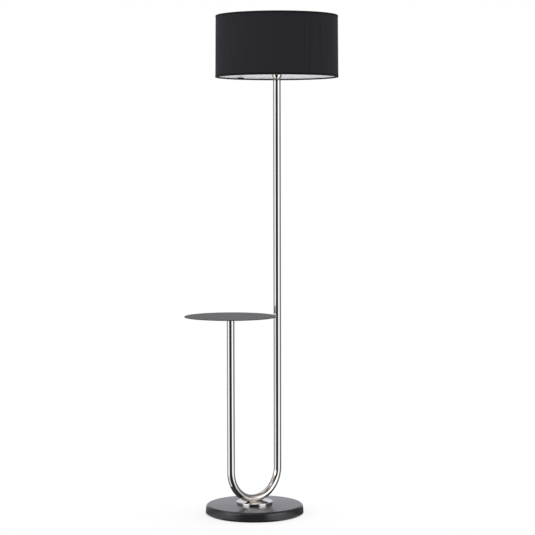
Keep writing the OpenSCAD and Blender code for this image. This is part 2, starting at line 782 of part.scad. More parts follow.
// A strip that lies on the floor of the shell and rises to a flat tongue in the middle
module centre_contact() {
    side_room = 1;
    reach = shell_bore / 2 - shell_floor_w - side_room;
    side = [[reach, 0], [reach - contact_foot, 0], [contact_flat / 2, contact_rise]];
    lower = concat(side, [for (i = [2:-1:0]) [-side[i][0], side[i][1]]]);
    upper = [for (i = [5:-1:0]) lower[i] + [0, contact_t]];
    color("goldenrod") tall_leg() translate([0, contact_w / 2, shell_z]) rotate([90, 0, 0])
        linear_extrude(contact_w) polygon(concat(lower, upper));
}

// The inner end of a terminal screw's shank, which points outwards along X
module terminal_place() {
    translate([cup_in_r - pocket_depth - terminal_bite, 0, body_z + pocket_h / 2])
        rotate([0, 90, 0]) children();
}

module terminal_screws() {
    shank = terminal_bite + core_d + 2 * core_play;
    color("goldenrod") tall_leg() for (side = [0, 180]) rotate([0, 0, side])
        terminal_place() {
            cylinder(d = terminal_d, h = shank);
            translate([0, 0, shank]) cylinder(d = terminal_head_d, h = terminal_head_t);
        }
}

// ---- Switch ----

// The switch's axis: children stand on it and point towards -Y
module switch_axis(y) {
    tall_leg() translate([0, -y, switch_z]) rotate([90, 0, 0]) children();
}

module switch_shaft() {
    color("goldenrod") switch_axis(shaft_in)
        cylinder(d = shaft_d, h = knob_y + knob_l - knob_cap - shaft_in);
}

module switch_cam() {
    hollow_r = cam_d / 2 + cam_hollow_d / 4;
    color("ivory") switch_axis(cam_in) difference() {
        cylinder(d = cam_d, h = cam_l);
        translate([0, 0, -cut]) cylinder(d = shaft_d, h = cam_l + 2 * cut);
        for (a = [0, 90, 180, 270]) rotate([0, 0, a]) translate([hollow_r, 0, -cut])
            cylinder(d = cam_hollow_d, h = cam_l + 2 * cut);
    }
}

module switch_knob() {
    color("#1e1e20") switch_axis(knob_y) difference() {
        cylinder(d = knob_d, h = knob_l);
        translate([0, 0, -cut]) cylinder(d = shaft_d, h = knob_l - knob_cap + cut);
        flutes(knob_d / 2, knob_flute_d, knob_flutes, knob_l);
    }
}

// ---- Bulb ----

// Half section of the glass for a wall offset t: the neck, the cone and the round top
function glass_line(t) =
    let (r = bulb_r - t,
         neck = [bulb_neck_d / 2 - t, neck_z - bulb_c],
         meet = atan2(neck[1], neck[0]) + acos(r / norm(neck)))
    concat([neck + [0, bulb_c]], arc([0, bulb_c], r, meet, 90, glass_steps));

module bulb_glass() {
    inner = glass_line(glass_t);
    back = [for (i = [len(inner) - 1:-1:0]) inner[i]];
    color("white") tall_leg() rotate_extrude() polygon(concat(glass_line(0), back));
}

module bulb_cap() {
    rim_h = 1;
    cone_h = 3;
    r = cap_d / 2;
    low_r = insulator_d / 2 + cap_t;
    hole_r = insulator_d / 2 - 2 * cap_t;
    neck_r = bulb_neck_d / 2;
    color("silver") tall_leg() translate([0, 0, cap_z]) rotate_extrude() polygon([
        [hole_r, 0], [low_r, 0], [r, cone_h], [r, cap_h - 2 * rim_h], [neck_r, cap_h - rim_h],
        [neck_r, cap_h], [neck_r - glass_t, cap_h], [r - cap_t, cap_h - 2 * rim_h],
        [r - cap_t, cone_h], [low_r - cap_t, cap_t], [hole_r, cap_t]
    ]);
}

module bulb_insulator() {
    color("#101010") tall_leg() translate([0, 0, tip_z + button_t])
        cylinder(d1 = button_d, d2 = insulator_d, h = insulator_t);
}

module bulb_contact() {
    color("silver") tall_leg() translate([0, 0, tip_z]) cylinder(d = button_d, h = button_t);
}

// ---- Shade ----

module shade_lock_ring() {
    bore_r = sleeve_d / 2 + lock_gap;
    lock_r = bore_r + lock_wall;
    color("#1e1e20") tall_leg() translate([0, 0, lock_z]) difference() {
        cylinder(r = lock_r, h = lock_h);
        translate([0, 0, -cut]) cylinder(r = bore_r, h = lock_h + 2 * cut);
        flutes(lock_r, lock_flute_d, lock_flutes, lock_h);
    }
}

module fitter_ring() {
    color("white") tall_leg() translate([0, 0, fitter_z])
        ring(2 * fitter_out_r, 2 * fitter_r, fitter_t);
}

// One arm in the XZ plane. It stands on the bottom ring, follows the wall, bends and ends
// upright against the fitter ring's edge.
module shade_arm() {
    wall_dir = [-sin(shade_lean), cos(shade_lean)];
    foot = arm_start + wire_d / 2 * wall_dir;
    bend_c = arm_corner - arm_tangent * wall_dir - arm_bend_r * [wall_dir[1], -wall_dir[0]];
    stations = concat(
        [[foot, shade_lean]],
        [for (i = [0:arm_steps]) let (a = shade_lean + arm_sweep * i / arm_steps)
            [bend_c + arm_bend_r * [cos(a), sin(a)], a]],
        [[arm_end, 90]]
    );
    swept_bar([for (s = stations)
        [[s[0][0], 0, s[0][1]], [cos(s[1]), 0, sin(s[1])], [0, 1, 0]]], arm_d);
}

module shade_arms() {
    color("white") tall_leg() for (i = [0:arm_count - 1])
        rotate([0, 0, arm_first_angle + 360 * i / arm_count]) shade_arm();
}

module wire_ring(z) {
    translate([0, 0, z]) rotate_extrude() translate([ring_centre(z), 0])
        circle(d = wire_d);
}

module shade_bottom_ring() {
    color("white") tall_leg() wire_ring(bottom_ring_z);
}

module shade_top_ring() {
    color("white") tall_leg() wire_ring(top_ring_z);
}

// A thin wall that follows the shade's slope, from depth a to depth b under its outer surface
module shade_wall(a, b, z0, z1) {
    rotate_extrude() polygon([
        [shade_r(z0) - b, z0], [shade_r(z0) - a, z0], [shade_r(z1) - a, z1], [shade_r(z1) - b, z1]
    ]);
}

module shade_cover() {
    color("#2a292c") tall_leg()
        shade_wall(hem_t, hem_t + cloth_t, shade_z + hem_t, overall_h - hem_t);
}

module shade_lining() {
    color("#d6d6de") tall_leg()
        shade_wall(hem_t + cloth_t, wall_t, shade_z + hem_t, overall_h - hem_t);
}

// A rolled edge that wraps the cloth, the lining and the wire. It opens upwards, or downwards
// where dir is -1.
module shade_hem(edge_z, dir) {
    z0 = edge_z + dir * hem_t;
    z1 = edge_z + dir * hem_h;
    depth = wall_t + 2 * ring_r + wire_play;
    rotate_extrude() polygon([
        [shade_r(edge_z), edge_z], [shade_r(z1), z1], [shade_r(z1) - hem_t, z1],
        [shade_r(z0) - hem_t, z0], [shade_r(z0) - depth, z0], [shade_r(z1) - depth, z1],
        [shade_r(z1) - depth - hem_t, z1], [shade_r(edge_z) - depth - hem_t, edge_z]
    ]);
}

module shade_bottom_hem() {
    color("#1d1d20") tall_leg() shade_hem(shade_z, 1);
}

module shade_top_hem() {
    color("#1d1d20") tall_leg() shade_hem(overall_h, -1);
}

// ---- Table ----

// The places of the welded studs
module table_studs() {
    for (a = [0, 120, 240]) rotate([0, 0, a])
        translate([flange_d / 2 - table_stud_inset, 0, 0]) children();
}

module table_top() {
    r = table_d / 2;
    c = table_chamfer;
    stud_end_z = table_nut_z - table_stud_over;
    color("#2c2c30") short_leg() {
        translate([0, 0, table_under_z]) rotate_extrude() polygon([
            [0, 0], [r - c, 0], [r, c], [r, table_t - c], [r - c, table_t], [0, table_t]
        ]);
        table_studs() translate([0, 0, stud_end_z])
            cylinder(d = table_stud_d, h = table_under_z + cut - stud_end_z);
    }
}

module table_flange() {
    color("#2c2c30") short_leg() translate([0, 0, short_leg_z]) difference() {
        ring(flange_d, thread_d, flange_t);
        table_studs() translate([0, 0, -cut])
            cylinder(d = table_stud_d + table_stud_clear, h = flange_t + 2 * cut);
    }
}

module table_nuts() {
    color("silver") short_leg() table_studs() translate([0, 0, table_nut_z])
        hex_nut(table_stud_d + table_nut_rim, table_stud_d, table_nut_t);
}

module table_stud() {
    color("silver") short_leg() translate([0, 0, table_under_z - leg_stud_l])
        cylinder(d = thread_d, h = leg_stud_l);
}

module leg_plug() {
    color("silver") short_leg() translate([0, 0, short_leg_z - plug_l]) tube_plug();
}

base_cover();
base_weight();
base_pad();
base_stud();
stud_washer();
stud_spring_washer();
stud_nut();
cord_bush();
cord_clamp();
clamp_screws();
foot_plate();
bend_boss();
u_tube();
u_tube_plug();
joint_nipple();
pole_plug();
upper_pole();
pole_top_plug();
socket_nipple();
inner_lead();
lead_cores();
socket_cup();
cup_nut();
socket_body();
screw_shell();
centre_contact();
terminal_screws();
switch_shaft();
switch_cam();
switch_knob();
shade_lock_ring();
bulb_glass();
bulb_cap();
bulb_insulator();
bulb_contact();
fitter_ring();
shade_arms();
shade_bottom_ring();
shade_top_ring();
shade_cover();
shade_lining();
shade_bottom_hem();
shade_top_hem();
table_top();
table_flange();
table_nuts();
table_stud();
leg_plug();
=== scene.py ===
import json
import math

import bpy
from mathutils import Matrix, Vector


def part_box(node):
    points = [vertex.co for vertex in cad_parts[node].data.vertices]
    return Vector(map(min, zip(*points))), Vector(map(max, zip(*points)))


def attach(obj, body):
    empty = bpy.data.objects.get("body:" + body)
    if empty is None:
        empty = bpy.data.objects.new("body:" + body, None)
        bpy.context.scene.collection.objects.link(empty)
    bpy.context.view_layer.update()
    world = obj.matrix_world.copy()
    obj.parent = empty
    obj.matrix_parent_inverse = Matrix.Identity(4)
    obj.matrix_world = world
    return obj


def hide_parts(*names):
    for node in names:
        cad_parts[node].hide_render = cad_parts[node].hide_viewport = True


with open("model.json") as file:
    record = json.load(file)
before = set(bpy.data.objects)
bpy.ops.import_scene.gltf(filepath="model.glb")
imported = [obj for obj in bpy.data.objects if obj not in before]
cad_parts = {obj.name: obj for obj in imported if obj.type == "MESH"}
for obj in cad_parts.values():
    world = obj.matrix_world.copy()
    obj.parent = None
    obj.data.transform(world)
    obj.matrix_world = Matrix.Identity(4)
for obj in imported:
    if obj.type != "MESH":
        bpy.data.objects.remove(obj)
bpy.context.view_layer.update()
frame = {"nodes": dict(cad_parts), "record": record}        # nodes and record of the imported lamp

nodes = frame["nodes"]
fullTurn = 2 * math.pi
print("frame loaded:", len(nodes), "nodes")


# A socket that takes part in plain arithmetic: each operator adds one Math node
class Port:
    def __init__(self, graph, socket):
        self.graph = graph
        self.socket = socket

    def math(self, operation, *values):
        return self.graph.add("ShaderNodeMath", dict(enumerate(values)), operation=operation)

    def other(self, name):
        return Port(self.graph, self.socket.node.outputs[name])

    def __add__(self, value):
        return self.math("ADD", self, value)

    def __sub__(self, value):
        return self.math("SUBTRACT", self, value)

    def __rsub__(self, value):
        return self.math("SUBTRACT", value, self)

    def __mul__(self, value):
        return self.math("MULTIPLY", self, value)

    def __truediv__(self, value):
        return self.math("DIVIDE", self, value)

    def __rtruediv__(self, value):
        return self.math("DIVIDE", value, self)

    __radd__, __rmul__ = __add__, __mul__

    def single(self, operation):
        return self.math(operation, self)

    # goes over to another level by a share from 0 to 1
    def towards(self, share, level):
        return self + (level - self) * share

    # 0 below low, 1 above high, and a smooth step between them
    def ramp(self, low, high, out0=0.0, out1=1.0):
        limits = {"Value": self, "From Min": low, "From Max": high, "To Min": out0, "To Max": out1}
        return self.graph.add("ShaderNodeMapRange", limits, interpolation_type="SMOOTHSTEP")

    # 1 below low, 0 above high
    def fall(self, low, high):
        return self.ramp(low, high, 1.0, 0.0)


# A node tree of any kind: add() makes a node with its settings, and feeds its sockets
class Graph:
    def __init__(self, tree):
        self.tree = tree

    def add(self, kind, inputs=None, output=0, **settings):
        node = self.tree.nodes.new(kind)
        for key, value in settings.items():
            setattr(node, key, value)
        for key, value in (inputs or {}).items():
            self.feed(node.inputs[key], value)
        return Port(self, node.outputs[output]) if node.outputs else node

    def feed(self, socket, value):
        if isinstance(value, Port):
            self.tree.links.new(value.socket, socket)
        else:
            socket.default_value = (*value, 1) if socket.type == "RGBA" else value

    def mixColours(self, share, first, second):
        return self.add("ShaderNodeMix", {0: share, 6: first, 7: second}, 2, data_type="RGBA")

    def split(self, vector):
        x = self.add("ShaderNodeSeparateXYZ", {0: vector})
        return x, x.other("Y"), x.other("Z")

    def joined(self, x=0.0, y=0.0, z=0.0):
        return self.add("ShaderNodeCombineXYZ", {0: x, 1: y, 2: z})


# The shader's names of the sockets that are more than one plain word
socketNames = {
    "colour": "Base Color", "coat": "Coat Weight", "coatRoughness": "Coat Roughness", "ior": "IOR",
    "specular": "Specular IOR Level", "specularTint": "Specular Tint",
    "sheen": "Sheen Weight", "sheenRoughness": "Sheen Roughness", "sheenTint": "Sheen Tint",
    "subsurface": "Subsurface Weight", "subsurfaceScale": "Subsurface Scale",
}


# A material on one Principled shader; fixed values go straight to the shader's own sockets
class Finish(Graph):
    def __init__(self, name, **values):
        self.material = bpy.data.materials.new(name)
        self.material.use_nodes = True
        super().__init__(self.material.node_tree)
        self.tree.nodes.clear()
        self.shader = self.tree.nodes.new("ShaderNodeBsdfPrincipled")
        self.sheet = self.tree.nodes.new("ShaderNodeOutputMaterial")
        self.tree.links.new(self.shader.outputs[0], self.sheet.inputs["Surface"])
        for key, value in values.items():
            self.put(key, value)

    def put(self, key, value):
        self.feed(self.shader.inputs[socketNames.get(key, key.capitalize())], value)

    def place(self, scale=(1, 1, 1)):
        coords = self.add("ShaderNodeTexCoord", output="Object")
        return self.add("ShaderNodeMapping", {"Vector": coords, "Scale": scale})

    def cloth(self):
        return self.add("ShaderNodeUVMap", uv_map="UVMap")

    # noise over a flat sheet, with its own scale each way
    def sheetNoise(self, u, v, scale, detail):
        return self.noise(self.joined(u, v), scale, detail)

    def noise(self, where, scale, detail=2.0, roughness=0.5):
        return self.add("ShaderNodeTexNoise", {"Vector": where, "Scale": scale, "Detail": detail,
                                               "Roughness": roughness})

    # two colours by a share, the roughness, and a bump by height
    def end(self, share, first, second, rough, height, distance, strength):
        self.put("colour", self.mixColours(share, first, second))
        self.put("roughness", rough)
        self.put("normal", self.add("ShaderNodeBump", {
            "Height": height, "Distance": distance, "Strength": strength}))
        return self.material


# A new object in the scene
def placed(name, data):
    made = bpy.data.objects.new(name, data)
    bpy.context.scene.collection.objects.link(made)
    return made


# Camera at the photograph's viewing angle
view = {
    "place": (-3.29, -4.3025, 1.0765),
    "azimuth": 37.84,            # degrees that it looks to the right of +Y
    "down": 3.35,
    "roll": -0.12,
    "lens": 119.3,
    "sensor": 36.0,
    "reach": 50.0,
}


def lookDirection():
    turn, down = math.radians(view["azimuth"]), math.radians(view["down"])
    return Vector((math.sin(turn) * math.cos(down), math.cos(turn) * math.cos(down),
                   -math.sin(down)))


def makeCamera():
    data = bpy.data.cameras.new("camera")
    data.lens = view["lens"]
    data.sensor_width = view["sensor"]
    data.clip_end = view["reach"]
    camera = placed("camera", data)
    facing = lookDirection().to_track_quat("-Z", "Y").to_matrix().to_4x4()
    roll = Matrix.Rotation(math.radians(view["roll"]), 4, "Z")
    camera.matrix_world = Matrix.Translation(view["place"]) @ facing @ roll
    bpy.context.scene.camera = camera


makeCamera()
print("camera made")


# Shapes

def measure(node):
    low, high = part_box(node)
    return {"x": (low.x + high.x) / 2, "low": low.z, "high": high.z, "height": high.z - low.z,
            "radius": max(high.x - low.x, high.y - low.y) / 2}


# Corners (radius, height, rounding) become points, and each rounded corner an arc
def rounded(corners, steps=6):
    points = []
    for i, corner in enumerate(corners):
        here = Vector(corner[:2])
        if len(corner) < 3:
            points.append(here)
            continue
        before = (Vector(corners[i - 1][:2]) - here).normalized()
        after = (Vector(corners[(i + 1) % len(corners)][:2]) - here).normalized()
        half = before.angle(after) / 2
        centre = here + (before + after).normalized() * corner[2] / math.sin(half)
        start = here + before * corner[2] / math.tan(half) - centre
        end = here + after * corner[2] / math.tan(half) - centre
        first = math.atan2(start.y, start.x)
        sweep = (math.atan2(end.y, end.x) - first + math.pi) % fullTurn - math.pi
        points += [centre + corner[2] * Vector((math.cos(first + sweep * k / steps),
                                                math.sin(first + sweep * k / steps)))
                   for k in range(steps + 1)]
    return points


# The section of a ring or disc, with a rounding for each corner: inside low, outside low, outside
# high and inside high, where 0 leaves it sharp
def band(inner, outer, low, high, edges, steps=6):
    corners = zip((inner, outer, outer, inner), (low, low, high, high), edges)
    return rounded([(radius, z, edge) if edge else (radius, z) for radius, z, edge in corners], steps)


# A piece from points, faces and a (u, v) in metres for each corner of each face
def fromFaces(name, points, faces, corners, sharp=35):
    mesh = bpy.data.meshes.new(name)
    mesh.from_pydata(points, [], faces)
    layer = mesh.uv_layers.new(name="UVMap")
    layer.data.foreach_set("uv", [value for face in corners for uv in face for value in uv])
    piece = placed(name, mesh)
    smoothed(piece, sharp)
    return piece


def modify(piece, kind, **settings):
    modifier = piece.modifiers.new(kind.lower(), kind)
    for key, value in settings.items():
        setattr(modifier, key, value)
    return modifier


# Smooth shading in which a large face keeps its own normal beside a small rounding
def smoothed(piece, sharp):
    piece.data.polygons.foreach_set("use_smooth", [True] * len(piece.data.polygons))
    piece.data.set_sharp_from_angle(angle=math.radians(sharp))
    modify(piece, "WEIGHTED_NORMAL", keep_sharp=True)
    takeShape(piece)


# Turns what the modifiers make into the piece's own mesh
def takeShape(piece):
    graph = bpy.context.evaluated_depsgraph_get()
    piece.data = bpy.data.meshes.new_from_object(piece.evaluated_get(graph))
    piece.modifiers.clear()


# A closed half section (radius, height) turned about the upright line at x. It is first made to
# run anticlockwise, so that all faces point outwards.
def turned(name, section, x=0.0, steps=144, sharp=35):
    onAxis = 1e-7
    section = [Vector(p) for p in section]
    area = sum(a.x * b.y - b.x * a.y for a, b in zip(section, section[1:] + section[:1]))
    if area < 0:
        section.reverse()
    widest = max(p.x for p in section)
    lengths = [0.0]
    for a, b in zip(section, section[1:] + section[:1]):
        lengths.append(lengths[-1] + (b - a).length)
    points, index = [], {}
    for i, p in enumerate(section):
        for j in range(steps):
            angle = fullTurn * j / steps
            if p.x < onAxis and j:
                index[i, j] = index[i, 0]
                continue
            index[i, j] = len(points)
            points.append((x + p.x * math.cos(angle), p.x * math.sin(angle), p.y))
    faces, corners = [], []
    for i in range(len(section)):
        k = (i + 1) % len(section)
        if section[i].x < onAxis and section[k].x < onAxis:
            continue
        for j in range(steps):
            ring = [(i, j), (i, j + 1), (k, j + 1), (k, j)]
            face, uvs = [], []
            for row, column in ring:
                point = index[row, column % steps]
                if point not in face:
                    face.append(point)
                    along = lengths[i + 1] if row == k else lengths[i]
                    uvs.append((widest * fullTurn * column / steps, along))
            faces.append(face)
            corners.append(uvs)
    return fromFaces(name, points, faces, corners, sharp)


# Cuts a round hole through a piece, and leaves a plain mesh
def drilled(piece, centre, axis, radius, depth):
    half = Vector(axis) * depth / 2
    cutter = rod("cutter", [Vector(centre) - half, Vector(centre) + half], radius)
    modify(piece, "BOOLEAN", object=cutter, operation="DIFFERENCE", solver="EXACT")
    settle(piece)
    bpy.data.objects.remove(cutter)


def settle(piece, sharp=35):
    takeShape(piece)
    smoothed(piece, sharp)


# Geometry Nodes trees

# A tree with named inputs; Geometry comes out, realized and with its material set
class Grower(Graph):
    def __init__(self, name, inputs):
        super().__init__(bpy.data.node_groups.new(name, "GeometryNodeTree"))
        face = self.tree.interface
        for label, kind in inputs.items():
            face.new_socket(label, in_out="INPUT", socket_type="NodeSocket" + kind)
        face.new_socket("Finish", in_out="INPUT", socket_type="NodeSocketMaterial")
        face.new_socket("Geometry", in_out="OUTPUT", socket_type="NodeSocketGeometry")
        self.given = self.tree.nodes.new("NodeGroupInput")
        self.result = self.tree.nodes.new("NodeGroupOutput")

    def take(self, label):
        return Port(self, self.given.outputs[label])

    def end(self, geometry):
        real = self.add("GeometryNodeRealizeInstances", {0: geometry})
        painted = self.add("GeometryNodeSetMaterial", {"Geometry": real,
                                                       "Material": self.take("Finish")})
        self.feed(self.result.inputs[0], painted)

    # a piece with the finish of a slot
    def grow(self, name, slot, values, sharp=35):
        values = {**values, "Finish": finishes.get(slot)}
        piece = placed(name, bpy.data.meshes.new(name))
        modifier = modify(piece, "NODES", node_group=self.tree)
        for item in self.tree.interface.items_tree:
            if item.in_out == "INPUT" and values.get(item.name) is not None:
                modifier[item.identifier] = values[item.name]
        settle(piece, sharp)
        return piece


# A round rod through the points of a route, with its corners rounded
def rodTree():
    bar = Grower("rodAlongRoute", {"Route": "Object", "Radius": "Float", "Corner radius": "Float",
                                   "Corner steps": "Int", "Sides": "Int", "Closed ends": "Bool"})
    route = bar.add("GeometryNodeObjectInfo", {"Object": bar.take("Route")}, "Geometry")
    line = bar.add("GeometryNodeMeshToCurve", {0: route})
    bent = bar.add("GeometryNodeFilletCurve", {
        "Curve": line, "Count": bar.take("Corner steps"), "Limit Radius": True,
        "Radius": bar.take("Corner radius")}, mode="POLY")
    profile = bar.add("GeometryNodeCurvePrimitiveCircle", {"Resolution": bar.take("Sides"),
                                                           "Radius": bar.take("Radius")})
    bar.end(bar.add("GeometryNodeCurveToMesh", {"Curve": bent, "Profile Curve": profile,
                                                "Fill Caps": bar.take("Closed ends")}))
    return bar


# Copies of one piece, turned in even steps about the Z axis
def ringTree():
    ring = Grower("ringOfPieces", {"Piece": "Object", "Count": "Int", "First angle": "Float"})
    spots = ring.add("GeometryNodeMeshLine", {"Count": ring.take("Count"), "Offset": (0, 0, 0)})
    index = ring.add("GeometryNodeInputIndex")
    angle = ring.take("First angle") + index * fullTurn / ring.take("Count")
    spin = ring.add("FunctionNodeEulerToRotation", {0: ring.joined(z=angle)})
    piece = ring.add("GeometryNodeObjectInfo", {"Object": ring.take("Piece")}, "Geometry")
    copies = ring.add("GeometryNodeInstanceOnPoints", {"Points": spots, "Instance": piece,
                                                       "Rotation": spin})
    ring.end(copies)
    return ring


# A rounded ridge that winds up a cylinder about the Z axis
def threadTree():
    thread = Grower("windingRidge", {"Radius": "Float", "Pitch": "Float", "Turns": "Float",
                                     "Low end": "Float", "Ridge": "Float"})
    turns, pitch = thread.take("Turns"), thread.take("Pitch")
    path = thread.add("GeometryNodeCurveSpiral", {
        "Resolution": 48, "Rotations": turns, "Start Radius": thread.take("Radius"),
        "End Radius": thread.take("Radius"), "Height": turns * pitch})
    profile = thread.add("GeometryNodeCurvePrimitiveCircle", {"Resolution": 8,
                                                              "Radius": thread.take("Ridge")})
    ridge = thread.add("GeometryNodeCurveToMesh", {"Curve": path, "Profile Curve": profile,
                                                   "Fill Caps": True})
    lift = thread.joined(z=thread.take("Low end"))
    thread.end(thread.add("GeometryNodeTransform", {"Geometry": ridge, "Translation": lift}))
    return thread


# The drum's wall: a flat sheet that is wound once round and laps over its own start. It lifts off
# just before the lap.
def drumTree():
    liftOff = (-0.004, 0.001)
    drum = Grower("drumWall", {"Bottom radius": "Float", "Top radius": "Float",
                               "Low edge": "Float", "High edge": "Float", "Lap": "Float",
                               "Lap angle": "Float", "Lap step": "Float", "Columns": "Int",
                               "Rows": "Int"})
    bottom, top = drum.take("Bottom radius"), drum.take("Top radius")
    low, high = drum.take("Low edge"), drum.take("High edge")
    sheet = drum.add("GeometryNodeMeshGrid", {"Size X": 1.0, "Size Y": 1.0,
                                              "Vertices X": drum.take("Columns"),
                                              "Vertices Y": drum.take("Rows")})
    x, y, _ = drum.split(drum.add("GeometryNodeInputPosition"))
    around, up = x + 0.5, y + 0.5
    radius = bottom + (top - bottom) * up
    length = bottom * fullTurn + drum.take("Lap")
    travel = around * length       # metres along the cloth
    overlap = (travel - bottom * fullTurn).ramp(*liftOff)
    angle = drum.take("Lap angle") + travel / bottom
    reach = radius + overlap * drum.take("Lap step")
    spot = drum.joined(reach * angle.single("COSINE"), reach * angle.single("SINE"),
                       low + (high - low) * up)
    wound = drum.add("GeometryNodeSetPosition", {"Geometry": sheet, "Position": spot})
    flat = drum.joined(travel, (high - low) * up)
    drum.end(drum.add("GeometryNodeStoreNamedAttribute",
                      {"Geometry": wound, "Name": "UVMap", "Value": flat},
                      data_type="FLOAT2", domain="CORNER"))
    return drum


rodAlongRoute = rodTree()
ringOfPieces = ringTree()
windingRidge = threadTree()
drumWall = drumTree()
print("geometry trees made")


def rod(name, points, radius, slot=None, corner=0.0, steps=8, sides=32, closed=True):
    line = bpy.data.meshes.new(name + "Route")
    line.from_pydata([tuple(p) for p in points], [(i, i + 1) for i in range(len(points) - 1)], [])
    route = placed(name + "Route", line)
    piece = rodAlongRoute.grow(name, slot, {
        "Route": route, "Radius": radius, "Corner radius": corner, "Corner steps": steps,
        "Sides": sides, "Closed ends": closed})
    bpy.data.objects.remove(route)
    return piece


# A pipe: a rod without ends that gets a wall, and slightly rounded rims
def pipe(name, points, radius, wall, slot, corner=0.0, steps=8, sides=96):
    piece = rod(name, points, radius, slot, corner, steps, sides, closed=False)
    modify(piece, "SOLIDIFY", thickness=wall, offset=-1)
    modify(piece, "BEVEL", width=wall / 5, segments=2, limit_method="ANGLE",
           angle_limit=math.radians(60))
    settle(piece)
    return piece


# Moves a piece sideways, to the axis of a leg
def shifted(piece, x):
    piece.data.transform(Matrix.Translation((x, 0, 0)))
    return piece


# Copies of a blank in a ring; the blank itself goes
def ringOf(name, blank, count, slot, angle=0.0, sharp=35):
    ring = ringOfPieces.grow(name, slot, {"Piece": blank, "Count": count, "First angle": angle},
                             sharp)
    bpy.data.objects.remove(blank)
    return ring


# Finishes

def polishedNickel(name, dark, light, rough):
    # bright plate on tube, plate and cup: faint wipe marks in its gloss, hardly any bump
    finish = Finish(name, metallic=1.0, ior=1.5)
    where = finish.place()
    cloudy = finish.noise(where, 9, 3)
    wiped = finish.noise(finish.place((60, 60, 4)), 12, 2)
    rough = rough + cloudy * 0.04 + wiped.ramp(0.45, 0.75) * 0.03
    return finish.end(cloudy, dark, light, rough, finish.noise(where, 55, 1), 0.00004, 0.1)


def powderCoat(name, dark, light, rough, grain=1700.0, specular=0.5, gloss=(1, 1, 1)):
    # satin coat: fine orange peel, with small changes of gloss
    finish = Finish(name, ior=1.5, specular=specular, specularTint=gloss)
    where = finish.place()
    patches = finish.noise(where, 14, 3)
    peel = finish.noise(where, grain, 2)
    rough = rough + (patches - 0.5) * 0.08 + (peel - 0.5) * 0.06
    return finish.end(patches, dark, light, rough, peel, 0.00006, 0.35)


def shadeCloth(name, dark, light, pitch=0.00055, rough=0.88):
    # plain weave: warp and weft from the cloth's own lengths, with slubs along the threads
    finish = Finish(name, ior=1.45, specular=0.06, sheen=0.03, sheenRoughness=0.5,
                    sheenTint=(0.9, 0.9, 1.0))
    u, v, _ = finish.split(finish.cloth())
    warp, weft = [(way * math.pi * (1 / pitch)).single("SINE") for way in (u, v)]
    over = (warp * weft).ramp(-0.25, 0.25)
    crown = warp * warp * (1 - over) + weft * weft * over
    along = finish.sheetNoise(u * 40, v * 900, 1, 2)
    upright = finish.sheetNoise(u * 900, v * 40, 1, 2)
    slubs = along * over + upright * (1 - over)
    share = slubs.ramp(0.3, 0.7) * 0.18 + crown * 0.82
    return finish.end(share, dark, light, rough - slubs * 0.15, crown + slubs * 0.6, 0.00005, 0.12)


def liningFilm(name, dark, light, rough):
    # pale backing film: smooth, with faint upright streaks
    finish = Finish(name, ior=1.46, specular=0.35)
    u, v, _ = finish.split(finish.cloth())
    streaks = finish.sheetNoise(u * 60, v * 3, 1, 3)
    share = streaks.ramp(0.3, 0.7) * 0.6 + finish.sheetNoise(u, v, 9, 2) * 0.4
    return finish.end(share, dark, light, rough + streaks * 0.15, streaks, 0.00015, 0.3)


def moulded(name, dark, light, rough, grain=2600.0):
    # plastic and rubber: the fine grain of the mould
    finish = Finish(name, ior=1.5, specular=0.45)
    where = finish.place()
    texture = finish.noise(where, grain, 2)
    return finish.end(finish.noise(where, 45, 2), dark, light, rough + (texture - 0.5) * 0.12,
                      texture, 0.00005, 0.35)


def drawnMetal(name, light, dark, rough):
    # plain fixings: drawn lines, and dull patches
    finish = Finish(name, metallic=1.0, ior=1.5)
    scratches = finish.noise(finish.place((60, 60, 1800)), 6, 3)
    dull = finish.noise(finish.place(), 130, 3)
    rough = rough + scratches * 0.14 + dull.ramp(0.5, 0.8) * 0.1
    return finish.end(dull, light, dark, rough, scratches, 0.00003, 0.3)


def castMetal(name, dark, light, rough):
    # sand-cast surface: pits, and stains of rust
    finish = Finish(name, metallic=0.6, ior=1.5)
    where = finish.place()
    pits = finish.noise(where, 420, 5, 0.65)
    return finish.end(finish.noise(where, 18, 3), dark, light, rough + pits * 0.25, pits, 0.0003,
                      0.7)


def foamSheet(name, dark, light, rough):
    finish = Finish(name, ior=1.4, specular=0.2)
    cells = finish.add("ShaderNodeTexVoronoi", {"Vector": finish.place(), "Scale": 1500})
    return finish.end(cells, dark, light, rough + cells * 0.1, cells, 0.0003, 0.8)


def coatedGlass(name, dark, light, rough):
    # white coated glass: it scatters light a little and keeps a clear gloss
    finish = Finish(name, ior=1.5, specular=0.5, subsurface=0.25, subsurfaceScale=0.004,
                    coat=0.3, coatRoughness=0.08)
    where = finish.place()
    haze = finish.noise(where, 30, 3)
    return finish.end(haze, dark, light, rough + haze * 0.12, finish.noise(where, 700, 1), 0.00001,
                      0.3)


